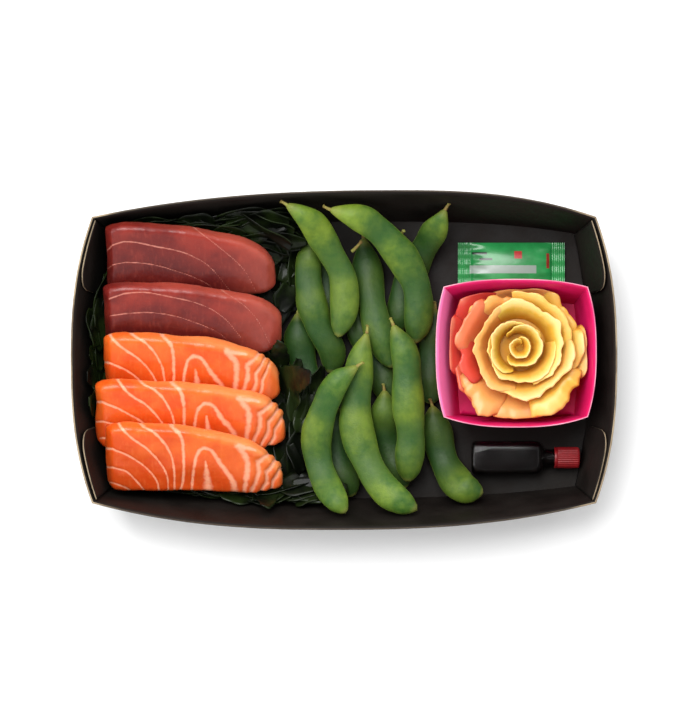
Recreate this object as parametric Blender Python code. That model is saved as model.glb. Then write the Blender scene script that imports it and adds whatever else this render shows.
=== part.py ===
"""A takeaway sushi tray of folded black card with all that is packed in it.

The tray holds shingled tuna and salmon slices on a seaweed bed, a loose pile of
edamame pods, a small pink card pot with a rose of ginger petals, a sealed sachet of
condiment and a little soy bottle with a ribbed cap. X runs along the tray, Y across
it and Z up. The origin is on the ground under the middle of the tray.
"""

import math
import random

import bmesh
import bpy
import numpy as np
from mathutils import Vector
from mathutils.bvhtree import BVHTree

# Driving dimensions, in metres.
GAP = 0.0003
CARD = 0.001
SIDE_STEPS = 16

TRAY_FLOOR_HALF = (0.1037, 0.0565)
TRAY_RIM_HALF = (0.1088, 0.0618)
TRAY_FLOOR_BULGE = (0.0055, 0.0053, 0.0055, 0.0053)
TRAY_RIM_BULGE = (0.0116, 0.0092, 0.0116, 0.0092)
TRAY_PEAKS = (0.48, 0.5, 0.38, 0.5)
BOW_POWER = 2.5
TRAY_WALL_SLANT = 0.0400
FLAP_LENGTH = 0.031
FLAP_ROUND = 0.009
FLAP_PROUD = 0.0005

POT_CARD = 0.0008
POT_HEIGHT = 0.0317
POT_FLOOR_CENTRE = (0.0769, 0.0001)
POT_FLOOR_HALF = (0.0256, 0.0250)
POT_FLOOR_BULGE = (0.0012, 0.0012, 0.0012, 0.0012)
POT_RIM_CENTRE = (0.0745, 0.0035)
POT_RIM_HALF = (0.0313, 0.0283)
POT_RIM_BULGE = (0.0045, 0.0038, 0.0034, 0.0035)

BED_TOP = 0.0075
BED_RIGHT = -0.0295
BED_HALF_WIDTH = 0.0545
BED_BOW = 0.085
BED_TAIL = 0.0190
BED_SHOULDER = 0.0045
BED_RAMP_FROM = 0.0250
BED_RAMP_SLOPE = 0.44

SLICE_THICKNESS = 0.0082
SLICE_WIDTH = 0.0330
SLICE_ROUND = 0.0022
HEEL_DROP = 0.0022
FRONT_DROOP = 0.2

ROSE_CENTRE = (0.0765, 0.0055)
ROSE_BASE = 0.0025
ROSE_TOP = 0.0315

SACHET_CENTRE = (0.0743, 0.0402)
SACHET_SIZE = (0.0474, 0.0238)
SACHET_FILM = 0.0006
SACHET_PLUMP = 0.0038

BOTTLE_BASE_X = 0.0563
BOTTLE_AXIS_Y = -0.0432
BOTTLE_AXIS_Z = 0.0069
BOTTLE_HALF = (0.0074, 0.0055)
BOTTLE_WALL = 0.0008
BOTTLE_BODY = 0.0314
NECK_RADIUS = 0.00375
NECK_END = 0.0445
CAP_START = 0.0367
CAP_END = 0.0477
CAP_RADIUS = 0.0047
CAP_RIBS = 18

# The pile of things laid so far is kept as heights over a fine grid.
CELL = 0.0006
GRID_HALF = (0.1212, 0.0768)
GRID_SHAPE = (int(2 * GRID_HALF[0] / CELL), int(2 * GRID_HALF[1] / CELL))
SAMPLES = 14


def clear_scene():
    for item in list(bpy.data.objects):
        bpy.data.objects.remove(item, do_unlink=True)


def finish(name, colour, roughness, metallic=0.0):
    """A plain material of one colour."""
    material = bpy.data.materials.get(name)
    if material is None:
        material = bpy.data.materials.new(name)
        material.use_nodes = True
        shader = material.node_tree.nodes["Principled BSDF"]
        shader.inputs["Base Color"].default_value = (*colour, 1.0)
        shader.inputs["Roughness"].default_value = roughness
        shader.inputs["Metallic"].default_value = metallic
    return material


def add_solid(name, shape, material):
    """Closes a bmesh, faces it outwards and links it as an object."""
    bmesh.ops.recalc_face_normals(shape, faces=shape.faces)
    mesh = bpy.data.meshes.new(name)
    shape.to_mesh(mesh)
    shape.free()
    mesh.materials.append(material)
    mesh.shade_smooth()
    mesh.set_sharp_from_angle(angle=math.radians(40))
    item = bpy.data.objects.new(name, mesh)
    bpy.context.scene.collection.objects.link(item)
    return item


def skin(rings):
    """A bmesh skinned over rings of equally many points, with both ends filled."""
    shape = bmesh.new()
    loops = [[shape.verts.new(point) for point in ring] for ring in rings]
    for near, far in zip(loops, loops[1:]):
        for i, corner in enumerate(near):
            j = (i + 1) % len(near)
            shape.faces.new((corner, near[j], far[j], far[i]))
    shape.faces.new(list(reversed(loops[0])))
    shape.faces.new(loops[-1])
    return shape


def leaf_skin(middle, thickness):
    """A thin solid round a grid of points, with both faces split into triangles alike."""
    along = np.gradient(middle, axis=0)
    across = np.gradient(middle, axis=1)
    normal = np.cross(along, across)
    normal /= np.maximum(np.linalg.norm(normal, axis=2, keepdims=True), 1e-9)
    shape = bmesh.new()
    faces = []
    for side in (0.5, -0.5):
        points = middle + normal * thickness * side
        faces.append([[shape.verts.new(point) for point in row] for row in points])
    rows, columns = middle.shape[:2]
    for grid in faces:
        for i in range(rows - 1):
            for j in range(columns - 1):
                a, b = grid[i][j], grid[i + 1][j]
                c, d = grid[i + 1][j + 1], grid[i][j + 1]
                shape.faces.new((a, b, c))
                shape.faces.new((a, c, d))
    border = [(i, 0) for i in range(rows)]
    border += [(rows - 1, j) for j in range(1, columns)]
    border += [(i, columns - 1) for i in range(rows - 2, -1, -1)]
    border += [(0, j) for j in range(columns - 2, 0, -1)]
    top, under = faces
    for (i, j), (k, m) in zip(border, border[1:] + border[:1]):
        shape.faces.new((top[i][j], top[k][m], under[k][m]))
        shape.faces.new((top[i][j], under[k][m], under[i][j]))
    return shape


def keep_main_shell(mesh):
    """Drops loose scraps, and fills any hollow that the union sealed by dropping its skin."""
    shape = bmesh.new()
    shape.from_mesh(mesh)
    waiting = set(shape.faces)
    shells = []
    while waiting:
        shell = {waiting.pop()}
        front = list(shell)
        while front:
            face = front.pop()
            for edge in face.edges:
                for beside in edge.link_faces:
                    if beside in waiting:
                        waiting.discard(beside)
                        shell.add(beside)
                        front.append(beside)
        shells.append(shell)
    main_shell = max(shells, key=lambda faces: sum(face.calc_area() for face in faces))
    extra = [face for shell in shells if shell is not main_shell for face in shell]
    bmesh.ops.delete(shape, geom=extra, context="FACES")
    shape.to_mesh(mesh)
    shape.free()


def fuse(base, pieces):
    """Joins the pieces to the base with one Boolean union, then removes them."""
    group = bpy.data.collections.new(base.name + "_pieces")
    bpy.context.scene.collection.children.link(group)
    for piece in pieces:
        bpy.context.scene.collection.objects.unlink(piece)
        group.objects.link(piece)
    union = base.modifiers.new("Fuse", "BOOLEAN")
    union.operation = "UNION"
    union.operand_type = "COLLECTION"
    union.collection = group
    union.solver = "EXACT"
    bpy.context.view_layer.update()
    graph = bpy.context.evaluated_depsgraph_get()
    joined = bpy.data.meshes.new_from_object(base.evaluated_get(graph))
    base.modifiers.clear()
    keep_main_shell(joined)
    base.data = joined
    for piece in pieces:
        bpy.data.objects.remove(piece, do_unlink=True)
    bpy.data.collections.remove(group)
    return base


def smooth_path(points, count):
    """Evenly spaced points on a Catmull-Rom curve through the given ones."""
    points = np.array(points, float)
    ends = np.vstack([2 * points[0] - points[1], points, 2 * points[-1] - points[-2]])
    fine = []
    for a, b, c, d in zip(ends, ends[1:], ends[2:], ends[3:]):
        for t in np.linspace(0, 1, 24, endpoint=False):
            fine.append(
                0.5 * (2 * b + (c - a) * t + (2 * a - 5 * b + 4 * c - d) * t**2
                       + (3 * b - 3 * c + d - a) * t**3)
            )
    fine = np.vstack([fine, points[-1:]])
    steps = np.linalg.norm(np.diff(fine, axis=0), axis=1)
    run = np.concatenate([[0], np.cumsum(steps)])
    wanted = np.linspace(0, run[-1], count)
    return np.stack([np.interp(wanted, run, fine[:, k]) for k in range(fine.shape[1])], axis=1)


def card_outline(centre, half, bulges, peaks=(0.5, 0.5, 0.5, 0.5), inset=0.0):
    """A four-sided outline whose sides bow out, from the front left corner round."""
    hx, hy = half[0] - inset, half[1] - inset
    corners = [Vector((-hx, -hy)), Vector((hx, -hy)), Vector((hx, hy)), Vector((-hx, hy))]
    outward = [Vector((0, -1)), Vector((1, 0)), Vector((0, 1)), Vector((-1, 0))]
    points = []
    for side in range(4):
        start, end = corners[side], corners[(side + 1) % 4]
        for step in range(SIDE_STEPS):
            u = step / SIDE_STEPS
            reach = peaks[side] if u < peaks[side] else 1 - peaks[side]
            bow = 1 - abs((u - peaks[side]) / reach) ** BOW_POWER
            place = start.lerp(end, u) + outward[side] * bulges[side] * bow
            points.append((centre[0] + place.x, centre[1] + place.y))
    return np.array(points)


def lift(outline, heights):
    """Plan points with one height each, or one height for all."""
    return np.column_stack([outline, np.broadcast_to(heights, len(outline))])


def tray_walls(inset):
    """The floor ring and the rim ring of the tray, outside or inset for its inner face."""
    middle = (0.0, 0.0)
    floor = card_outline(middle, TRAY_FLOOR_HALF, TRAY_FLOOR_BULGE, TRAY_PEAKS, inset)
    rim = card_outline(middle, TRAY_RIM_HALF, TRAY_RIM_BULGE, TRAY_PEAKS, inset)
    spread = np.linalg.norm(rim - floor, axis=1)
    top = np.sqrt(TRAY_WALL_SLANT**2 - spread**2)
    return lift(floor, CARD if inset else 0.0), lift(rim, top)


def corner_flap(corner, turn):
    """A glue flap on an end wall: it starts at a corner and ends in a rounded tab."""
    floor, rim = tray_walls(CARD)
    first = corner * SIDE_STEPS
    reach = [(first + turn * k) % len(floor) for k in range(SIDE_STEPS // 2)]
    low = floor[reach]
    high = rim[reach]
    run = np.concatenate([[0], np.cumsum(np.linalg.norm(np.diff(high, axis=0), axis=1))])
    rounding = FLAP_ROUND * (1 - np.sin(np.radians([30, 55, 72, 85])))
    stations = np.append(np.linspace(0.001, FLAP_LENGTH - FLAP_ROUND, 3), FLAP_LENGTH - rounding)
    inward = np.array([-1.0 if high[0, 0] > 0 else 1.0, 0.0, 0.0])
    rings = []
    for station in stations:
        foot = np.array([np.interp(station, run, low[:, k]) for k in range(3)])
        head = np.array([np.interp(station, run, high[:, k]) for k in range(3)])
        past = max(0.0, station - (FLAP_LENGTH - FLAP_ROUND)) / FLAP_ROUND
        drop = FLAP_ROUND * (1 - math.sqrt(max(0.0, 1 - past**2))) / TRAY_WALL_SLANT
        bottom, top = 0.04 + drop, 0.955 - drop
        inner, outer = inward * FLAP_PROUD, -inward * CARD * 0.4
        rings.append([
            foot + (head - foot) * bottom + outer,
            foot + (head - foot) * top + outer,
            foot + (head - foot) * top + inner,
            foot + (head - foot) * bottom + inner,
        ])
    return rings


def make_tray():
    black_card = finish("black_card", (0.035, 0.032, 0.032), 0.72)
    outer_floor, outer_rim = tray_walls(0.0)
    inner_floor, inner_rim = tray_walls(CARD)
    tray = add_solid("tray", skin([outer_floor, outer_rim, inner_rim, inner_floor]), black_card)
    flaps = []
    for corner, turn in ((1, 1), (2, -1), (3, 1), (4, -1)):
        rings = corner_flap(corner % 4, turn)
        flaps.append(add_solid("flap", skin(rings), black_card))
    return fuse(tray, flaps)


def pot_walls(inset):
    """The floor ring and the rim ring of the pot."""
    floor = card_outline(POT_FLOOR_CENTRE, POT_FLOOR_HALF, POT_FLOOR_BULGE, inset=inset)
    rim = card_outline(POT_RIM_CENTRE, POT_RIM_HALF, POT_RIM_BULGE, inset=inset)
    base = CARD + GAP
    return lift(floor, base + inset), lift(rim, base + POT_HEIGHT)


def make_pot():
    pink_card = finish("pink_card", (0.78, 0.06, 0.22), 0.6)
    outer_floor, outer_rim = pot_walls(0.0)
    inner_floor, inner_rim = pot_walls(POT_CARD)
    return add_solid("ginger_pot", skin([outer_floor, outer_rim, inner_rim, inner_floor]), pink_card)


def cells_of(points):
    """Grid cells under the points."""
    columns = ((points[..., 0] + GRID_HALF[0]) / CELL).astype(int)
    rows = ((points[..., 1] + GRID_HALF[1]) / CELL).astype(int)
    return columns.clip(0, GRID_SHAPE[0] - 1), rows.clip(0, GRID_SHAPE[1] - 1)


def spread_over(near, far, samples=SAMPLES):
    """Points spread evenly over the skin between two rings."""
    a = np.linspace(0, 1, samples)[:, None, None, None]
    b = np.linspace(0, 1, samples)[None, :, None, None]
    edge_near = near * (1 - b) + np.roll(near, -1, axis=0) * b
    edge_far = far * (1 - b) + np.roll(far, -1, axis=0) * b
    return edge_near * (1 - a) + edge_far * a


def raise_pile(pile, rings, samples=SAMPLES):
    """Raises the pile to the top of a skinned solid."""
    for near, far in zip(rings, rings[1:]):
        spots = spread_over(near, far, samples)
        np.maximum.at(pile, cells_of(spots), spots[..., 2])


def widened(pile):
    """The pile with each cell raised to its highest neighbour."""
    wide = pile.copy()
    for axis in (0, 1):
        step = wide.copy()
        wide = np.maximum(wide, np.maximum(np.roll(step, 1, axis), np.roll(step, -1, axis)))
    return wide


def settled(rings, pile, give):
    """The rings lowered onto the pile: each rests on it or bends over what is beside it."""
    reach = widened(pile)
    needed = np.full(len(rings), -1.0)
    for i, (near, far) in enumerate(zip(rings, rings[1:])):
        spots = spread_over(near, far)
        need = (reach[cells_of(spots)] + GAP - spots[..., 2]).max()
        needed[i] = max(needed[i], need)
        needed[i + 1] = max(needed[i + 1], need)
    bend = needed.copy()
    for _ in range(give):
        wide = np.concatenate([bend[:1], bend, bend[-1:]])
        bend = np.maximum(needed, (wide[:-2] + 2 * wide[1:-1] + wide[2:]) / 4)
    wide = np.concatenate([bend[:1], bend, bend[-1:]])
    soft = (wide[:-2] + 2 * wide[1:-1] + wide[2:]) / 4
    soft += max(0.0, (needed - soft).max())
    return rings + soft[:, None, None] * np.array([0.0, 0.0, 1.0])


def bed_height(x, y):
    """The top of the seaweed core: flat under the fish, banked up behind the first slice."""
    bank = max(0.0, y - BED_RAMP_FROM) * BED_RAMP_SLOPE
    ripple = 0.0006 * math.sin(x * 310) * math.cos(y * 270)
    return BED_TOP + bank + ripple


def bed_sides(y):
    """Where the seaweed core starts at the left wall and ends beside the pods."""
    left = -(TRAY_FLOOR_HALF[0] - CARD - 0.0007)
    left -= TRAY_FLOOR_BULGE[1] * (1 - (y / TRAY_FLOOR_HALF[1]) ** 2)
    tail = np.clip((-0.0450 - y) / 0.006, 0, 1)
    shoulder = np.clip((y - 0.0260) / 0.006, 0, 1)
    return left, BED_RIGHT + BED_TAIL * tail + BED_SHOULDER * shoulder


def bowed(x, y):
    """A place moved out with the bow of the long walls."""
    return y * (1 + BED_BOW * (1 - (x / TRAY_FLOOR_HALF[0]) ** 2))


def bed_rings():
    """Rings of the seaweed core, one across each station along Y."""
    rings = []
    floor = CARD + GAP
    for y in np.linspace(-BED_HALF_WIDTH, BED_HALF_WIDTH, 15):
        left, right = bed_sides(y)
        across = np.linspace(left, right, 9)
        edge = np.sin(np.linspace(0.0, math.pi, 9)).clip(0, 0.5) * 2
        end = 0.75 if abs(y) > BED_HALF_WIDTH - 0.001 else 1.0
        tops = [bed_height(x, y) * end * (0.45 + 0.55 * e) for x, e in zip(across, edge)]
        ring = [(left, bowed(left, y), floor)]
        ring += [(x, bowed(x, y), z) for x, z in zip(across, tops)]
        ring += [(right, bowed(right, y), floor)]
        rings.append(ring)
    return np.array(rings)


def make_bed(pile):
    seaweed = finish("seaweed", (0.02, 0.07, 0.02), 0.35)
    rings = bed_rings()
    raise_pile(pile, rings)
    return add_solid("wakame_bed", skin(rings), seaweed)


def slice_section(width, thickness):
    """A rounded bar across a slice, in its own plane: along the slope, then through it."""
    r = min(SLICE_ROUND, thickness * 0.42)
    w, t, q = width, thickness, r * 0.3
    return np.array([
        (r, 0), (w * 0.5, 0), (w - r, 0), (w - q, q), (w, r), (w, t - r),
        (w - q, t - q), (w - r, t), (w * 0.67, t), (w * 0.33, t), (r, t), (q, t - q),
        (0, t - r), (0, r), (q, q),
    ])


def slice_rings(left, right, back, droop, nose, tilt):
    """One slab of fish: its back edge is raised and it thins out towards its right end."""
    rings = []
    flat = SLICE_WIDTH * math.cos(tilt)
    stations = [0, 0.012, 0.04, 0.12, 0.24, 0.36, 0.48, 0.60, 0.72, 0.82, 0.90, 0.95, 0.985, 1.0]
    for t in stations:
        taper = math.sqrt(max(0.0, 1 - (max(0.0, t - 0.80) / 0.205) ** 2))
        heel = max(0.0, 1 - t / 0.10) ** 2
        rear = back - droop * t**2.5 - HEEL_DROP * heel
        front = back - flat - FRONT_DROOP * droop * t**2.5 + HEEL_DROP * heel
        span = rear - front
        width = span * (0.30 + 0.70 * taper) / math.cos(tilt)
        low = front + (span - width * math.cos(tilt)) * (1 - nose)
        thick = SLICE_THICKNESS * (0.45 + 0.55 * min(1.0, t / 0.03)) * (0.5 + 0.5 * taper)
        section = slice_section(width, thick)
        y = low + section[:, 0] * math.cos(tilt) - section[:, 1] * math.sin(tilt)
        z = section[:, 0] * math.sin(tilt) + section[:, 1] * math.cos(tilt)
        x = np.full(len(y), left + (right - left) * t)
        rings.append(np.column_stack([x, y, z]))
    return np.array(rings)


# Each slice: name, left end, right end, back edge, how far that droops, and where the
# rounded right end sits, from 0 at the back edge to 1 at the front one.
SLICES = (
    ("tuna_slice_1", -0.1040, -0.0300, 0.0612, 0.0110, 0.55),
    ("tuna_slice_2", -0.1050, -0.0275, 0.0352, 0.0080, 0.50),
    ("salmon_slice_1", -0.1050, -0.0280, 0.0135, 0.0105, 0.60),
    ("salmon_slice_2", -0.1085, -0.0260, -0.0070, 0.0085, 0.60),
    ("salmon_slice_3", -0.1040, -0.0270, -0.0255, 0.0130, 0.70),
)


def make_slices(pile):
    tuna = finish("tuna", (0.45, 0.03, 0.05), 0.3)
    salmon = finish("salmon", (0.85, 0.30, 0.14), 0.3)
    slices = []
    for name, left, right, back, droop, nose in SLICES:
        choices = []
        for degrees in range(18, 30):
            rings = slice_rings(left, right, back, droop, nose, math.radians(degrees))
            rings = settled(rings, pile, 60)
            choices.append((rings[..., 2].mean(), degrees, rings))
        rings = min(choices, key=lambda choice: choice[0])[2]
        raise_pile(pile, rings)
        slices.append(add_solid(name, skin(rings), tuna if "tuna" in name else salmon))
    return slices


# Each pod: its width, how many beans swell it, and its path in plan from stem to tip.
LOW_PODS = (
    (0.0135, 2, ((-0.0105, 0.0540), (-0.0078, 0.0376), (-0.0062, 0.0150))),
    (0.0140, 2, ((0.0034, 0.0240), (0.0115, 0.0044), (0.0181, -0.0089), (0.0217, -0.0215))),
    (0.0135, 2, ((0.0405, 0.0230), (0.0387, 0.0000), (0.0383, -0.0195))),
    (0.0142, 2, ((-0.0205, 0.0210), (-0.0195, 0.0066), (-0.0173, -0.0066), (-0.0140, -0.0240))),
    (0.0145, 2, ((-0.0045, -0.0199), (-0.0030, -0.0443), (0.0040, -0.0605))),
    (0.0142, 2, ((0.0177, -0.0133), (0.0190, -0.0354), (0.0270, -0.0570))),
    (0.0138, 3, ((0.0443, 0.0660), (0.0410, 0.0590), (0.0363, 0.0510), (0.0292, 0.0376),
                 (0.0257, 0.0266), (0.0239, 0.0122))),
    (0.0148, 2, ((0.0389, -0.0199), (0.0412, -0.0332), (0.0447, -0.0456), (0.0513, -0.0553),
                 (0.0611, -0.0585))),
)
HIGH_PODS = (
    (0.0142, 2, ((0.0085, 0.0545), (0.0110, 0.0360), (0.0141, 0.0167), (0.0220, -0.0033))),
    (0.0135, 3, ((-0.0140, 0.0560), (-0.0158, 0.0352), (-0.0114, 0.0154), (-0.0053, 0.0044),
                 (-0.0057, -0.0063))),
    (0.0152, 3, ((0.0101, 0.0124), (0.0070, -0.0009), (0.0053, -0.0176), (0.0057, -0.0308),
                 (0.0105, -0.0453), (0.0189, -0.0576), (0.0320, -0.0655))),
    (0.0145, 3, ((-0.0065, 0.0655), (0.0092, 0.0606), (0.0214, 0.0502), (0.0301, 0.0371),
                 (0.0331, 0.0240), (0.0310, 0.0070))),
    (0.0132, 2, ((-0.0250, 0.0675), (-0.0138, 0.0595), (-0.0065, 0.0480), (-0.0008, 0.0371),
                 (0.0001, 0.0240), (-0.0026, 0.0099))),
    (0.0145, 3, ((0.0214, 0.0158), (0.0270, 0.0009), (0.0279, -0.0174), (0.0292, -0.0349),
                 (0.0279, -0.0540))),
    (0.0138, 3, ((0.0060, -0.0025), (-0.0044, -0.0118), (-0.0113, -0.0292), (-0.0118, -0.0414),
                 (-0.0078, -0.0541), (0.0009, -0.0668))),
)
POD_RINGS = 15
POD_SIDES = 10
POD_FLATNESS = 0.66


def pod_rings(width, beans, path):
    """A pod lying flat: it swells over each bean and narrows to a stem and a pointed tip."""
    spine = smooth_path(path, POD_RINGS)
    heading = np.gradient(spine, axis=0)
    heading /= np.linalg.norm(heading, axis=1, keepdims=True)
    side = np.column_stack([-heading[:, 1], heading[:, 0]])
    rings = []
    for i, s in enumerate(np.linspace(0, 1, POD_RINGS)):
        swell = 0.5 - 0.5 * math.cos(2 * math.pi * beans * (0.06 + 0.88 * s))
        taper = max(0.0, 1 - abs(2 * s - 1) ** 4.2) ** 0.55
        half = width / 2 * (0.13 + 0.87 * taper) * (0.86 + 0.14 * swell)
        tall = width / 2 * POD_FLATNESS * (0.20 + 0.80 * taper) * (0.72 + 0.28 * swell)
        ring = []
        for k in range(POD_SIDES):
            angle = 2 * math.pi * k / POD_SIDES
            across = half * math.copysign(abs(math.cos(angle)) ** 1.15, math.cos(angle))
            ring.append((*(spine[i] + side[i] * across), tall * math.sin(angle)))
        rings.append(ring)
    return np.array(rings)


def make_pods(pods, first, pile):
    green = finish("edamame_skin", (0.16, 0.33, 0.09), 0.5)
    made = []
    for number, (width, beans, path) in enumerate(pods, first):
        rings = settled(pod_rings(width, beans, path), pile, 14)
        raise_pile(pile, rings)
        made.append(add_solid(f"edamame_pod_{number:02d}", skin(rings), green))
    return made


def tree_of(item):
    """A search tree of an object's faces."""
    shape = bmesh.new()
    shape.from_mesh(item.data)
    tree = BVHTree.FromBMesh(shape)
    shape.free()
    return tree


def is_clear(points, tree, room):
    """True where no point of a thin piece is inside a solid or within the given room of it."""
    for point in points:
        nearest, normal, _, distance = tree.find_nearest(Vector(point), DEEPEST)
        if nearest is None:
            continue
        if distance < room or (Vector(point) - nearest).dot(normal) < 0:
            return False
    return True


def wakame_leaf(root, heading, pitch, arch, length, width, ruffle, phase):
    """A ruffled leaf that rises from its root and may arch over."""
    rows, columns = 6, 3
    forward = np.array([math.cos(heading), math.sin(heading), 0.0])
    sideways = np.array([-math.sin(heading), math.cos(heading), 0.0])
    upwards = np.array([0.0, 0.0, 1.0])
    place = np.array(root, float)
    grid = []
    for i in range(rows):
        t = i / (rows - 1)
        slope = pitch * (1 - arch * t)
        facing = upwards * math.cos(slope) - forward * math.sin(slope)
        half = width / 2 * math.sin(math.pi * (0.16 + 0.72 * t))
        row = []
        for j in range(columns):
            v = j - 1
            wave = ruffle * v * math.sin(phase + 5.2 * t)
            row.append(place + sideways * half * v + facing * wave)
        grid.append(row)
        step = length / (rows - 1)
        place = place + (forward * math.cos(slope) + upwards * math.sin(slope)) * step
    return np.array(grid)


DEEPEST = 0.0055
LEAF_COUNT = 20
LEAF_TRIES = 6000
LEAF_THICKNESS = 0.0008
LEAF_SPACING = 0.010
LEAF_TOP = 0.0355

# Where leaves grow: share of the draws, root range in from the left and across, heading and its
# spread, steepest and gentlest rise, arch and ruffle.
LEAF_ZONES = (
    (0.34, (0.0006, 0.0022), (-0.048, 0.050), 3.14, 0.10, (1.29, 1.38), 0.02, 0.0003),
    (0.58, (0.010, 0.080), (0.0525, 0.0545), 1.57, 0.25, (1.20, 1.42), 0.06, 0.0006),
    (0.80, (0.077, 0.0815), (-0.040, 0.052), 0.60, 1.40, (1.00, 1.50), 0.30, 0.0010),
    (1.00, (0.010, 0.094), (-0.0545, -0.0500), -1.57, 0.9, (1.05, 1.45), 0.15, 0.0010),
)


def make_leaves(bed, others):
    """Leaves round the fish, kept only where they clear everything but the bed itself."""
    draw = random.Random(7)
    trees = [tree_of(item) for item in others]
    seaweed = bed.data.materials[0]
    leaves = []
    tips = []
    for _ in range(LEAF_TRIES):
        if len(leaves) == LEAF_COUNT:
            break
        share = draw.random()
        zone = next(zone for zone in LEAF_ZONES if share <= zone[0])
        _, along, across, turn, spread, rise, arch, ruffle = zone
        y = draw.uniform(*across)
        x = bed_sides(y)[0] + draw.uniform(*along)
        y = bowed(x, y)
        root = (x, y, bed_height(x, y) - 0.0035)
        heading = turn + draw.uniform(-spread, spread)
        pitch = draw.uniform(*rise)
        length = draw.uniform(0.015, 0.032)
        width = draw.uniform(0.009, 0.016)
        phase = draw.uniform(0, 6.28)
        grid = wakame_leaf(root, heading, pitch, arch, length, width, ruffle, phase)
        middle = grid[3, 1]
        if any(np.linalg.norm(middle - tip) < LEAF_SPACING for tip in tips):
            continue
        if grid[..., 2].max() > LEAF_TOP or grid[..., 2].min() < CARD + 3 * GAP:
            continue
        between = (grid[1:] + grid[:-1]) / 2
        fine = np.concatenate([grid.reshape(-1, 3), between.reshape(-1, 3)])
        if not all(is_clear(fine, tree, LEAF_THICKNESS / 2 + 1.5 * GAP) for tree in trees):
            continue
        tips.append(middle)
        leaves.append(add_solid("leaf", leaf_skin(grid, LEAF_THICKNESS), seaweed))
    print(len(leaves), "leaves")
    return fuse(bed, leaves)


def rose_core():
    """A low bowl of packed petals with a hollow at its middle."""
    profile = ((0.0150, ROSE_BASE), (0.0195, 0.0090), (0.0215, 0.0165), (0.0165, 0.0205),
               (0.0080, 0.0225), (0.0020, 0.0210))
    rings = []
    for radius, z in profile:
        turn = np.linspace(0, 2 * math.pi, 20, endpoint=False)
        x = POT_FLOOR_CENTRE[0] * (1 - z / ROSE_TOP) + ROSE_CENTRE[0] * z / ROSE_TOP
        y = POT_FLOOR_CENTRE[1] * (1 - z / ROSE_TOP) + ROSE_CENTRE[1] * z / ROSE_TOP
        rings.append(np.column_stack([x + radius * np.cos(turn), y + radius * np.sin(turn),
                                      np.full(20, z)]))
    return rings


# Each petal: first angle and sweep in degrees, radius where it starts and ends, top
# height and how far its lip rolls outwards.
PETALS = (
    (100, 330, 0.0020, 0.0042, 0.0300, 0.0006),
    (20, 250, 0.0055, 0.0085, 0.0308, 0.0012),
    (190, 240, 0.0085, 0.0118, 0.0312, 0.0015),
    (60, 210, 0.0122, 0.0152, 0.0308, 0.0020),
    (215, 200, 0.0142, 0.0180, 0.0306, 0.0024),
    (320, 170, 0.0182, 0.0212, 0.0300, 0.0030),
    (85, 140, 0.0195, 0.0225, 0.0295, 0.0034),
    (350, 95, 0.0205, 0.0210, 0.0285, 0.0036),
    (140, 90, 0.0205, 0.0225, 0.0265, 0.0050),
    (232, 92, 0.0212, 0.0220, 0.0280, 0.0095),
    (205, 60, 0.0215, 0.0220, 0.0255, 0.0085),
)
PETAL_THICKNESS = 0.0011


def petal_grid(start, sweep, inner, outer, top, roll):
    """A petal standing round the middle, with its lip rolled outwards."""
    columns, rows = max(5, round(sweep / 34)), 4
    grid = []
    for i in range(columns):
        t = i / (columns - 1)
        angle = math.radians(start + sweep * t)
        radius = inner + (outer - inner) * t
        crest = top - 0.0040 * (2 * t - 1) ** 4
        low = 0.0165
        row = []
        for j in range(rows):
            v = j / (rows - 1)
            reach = radius - 0.0012 * (1 - v) + roll * v**3
            z = low + (crest - low) * math.sin(v * math.pi * 0.56)
            row.append((ROSE_CENTRE[0] + reach * math.cos(angle),
                        ROSE_CENTRE[1] + reach * math.sin(angle), z))
        grid.append(row)
    return np.array(grid)


def make_rose():
    ginger = finish("ginger", (0.90, 0.55, 0.26), 0.4)
    core = add_solid("ginger_rose", skin(rose_core()), ginger)
    petals = []
    for petal in PETALS:
        petals.append(add_solid("petal", leaf_skin(petal_grid(*petal), PETAL_THICKNESS), ginger))
    return fuse(core, petals)


def make_sachet():
    """A sealed sachet: flat crimped ends and a plump middle, lying on the tray floor."""
    green_film = finish("green_film", (0.10, 0.42, 0.16), 0.4)
    length, depth = SACHET_SIZE
    seal = CARD + GAP + 0.0009
    rings = []
    for t in (0, 0.07, 0.13, 0.2, 0.32, 0.5, 0.68, 0.8, 0.86, 0.93, 1.0):
        swell = math.sin(math.pi * np.clip((t - 0.13) / 0.73, 0, 1)) ** 0.55
        across = np.linspace(-1, 1, 9)
        crown = swell * (1 - np.abs(across) ** 2.4)
        x = SACHET_CENTRE[0] + length * (t - 0.5)
        y = SACHET_CENTRE[1] + depth / 2 * across
        top = seal + SACHET_FILM / 2 + SACHET_PLUMP * crown
        under = seal - SACHET_FILM / 2 - 0.0006 * crown
        over = np.column_stack([np.full(9, x), y, top])
        below = np.column_stack([np.full(9, x), y, under])[::-1]
        rings.append(np.vstack([over, below]))
    return add_solid("condiment_sachet", skin(rings), green_film)


def bottle_ring(x, half_y, half_z, squareness, sides=16):
    """A ring round the bottle's axis, from round at 2 to boxy at 4."""
    ring = []
    for k in range(sides):
        angle = 2 * math.pi * (k + 0.5) / sides
        c, s = math.cos(angle), math.sin(angle)
        y = half_y * math.copysign(abs(c) ** (2 / squareness), c)
        z = half_z * math.copysign(abs(s) ** (2 / squareness), s)
        ring.append((BOTTLE_BASE_X + x, BOTTLE_AXIS_Y + y, BOTTLE_AXIS_Z + z))
    return np.array(ring)


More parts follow.
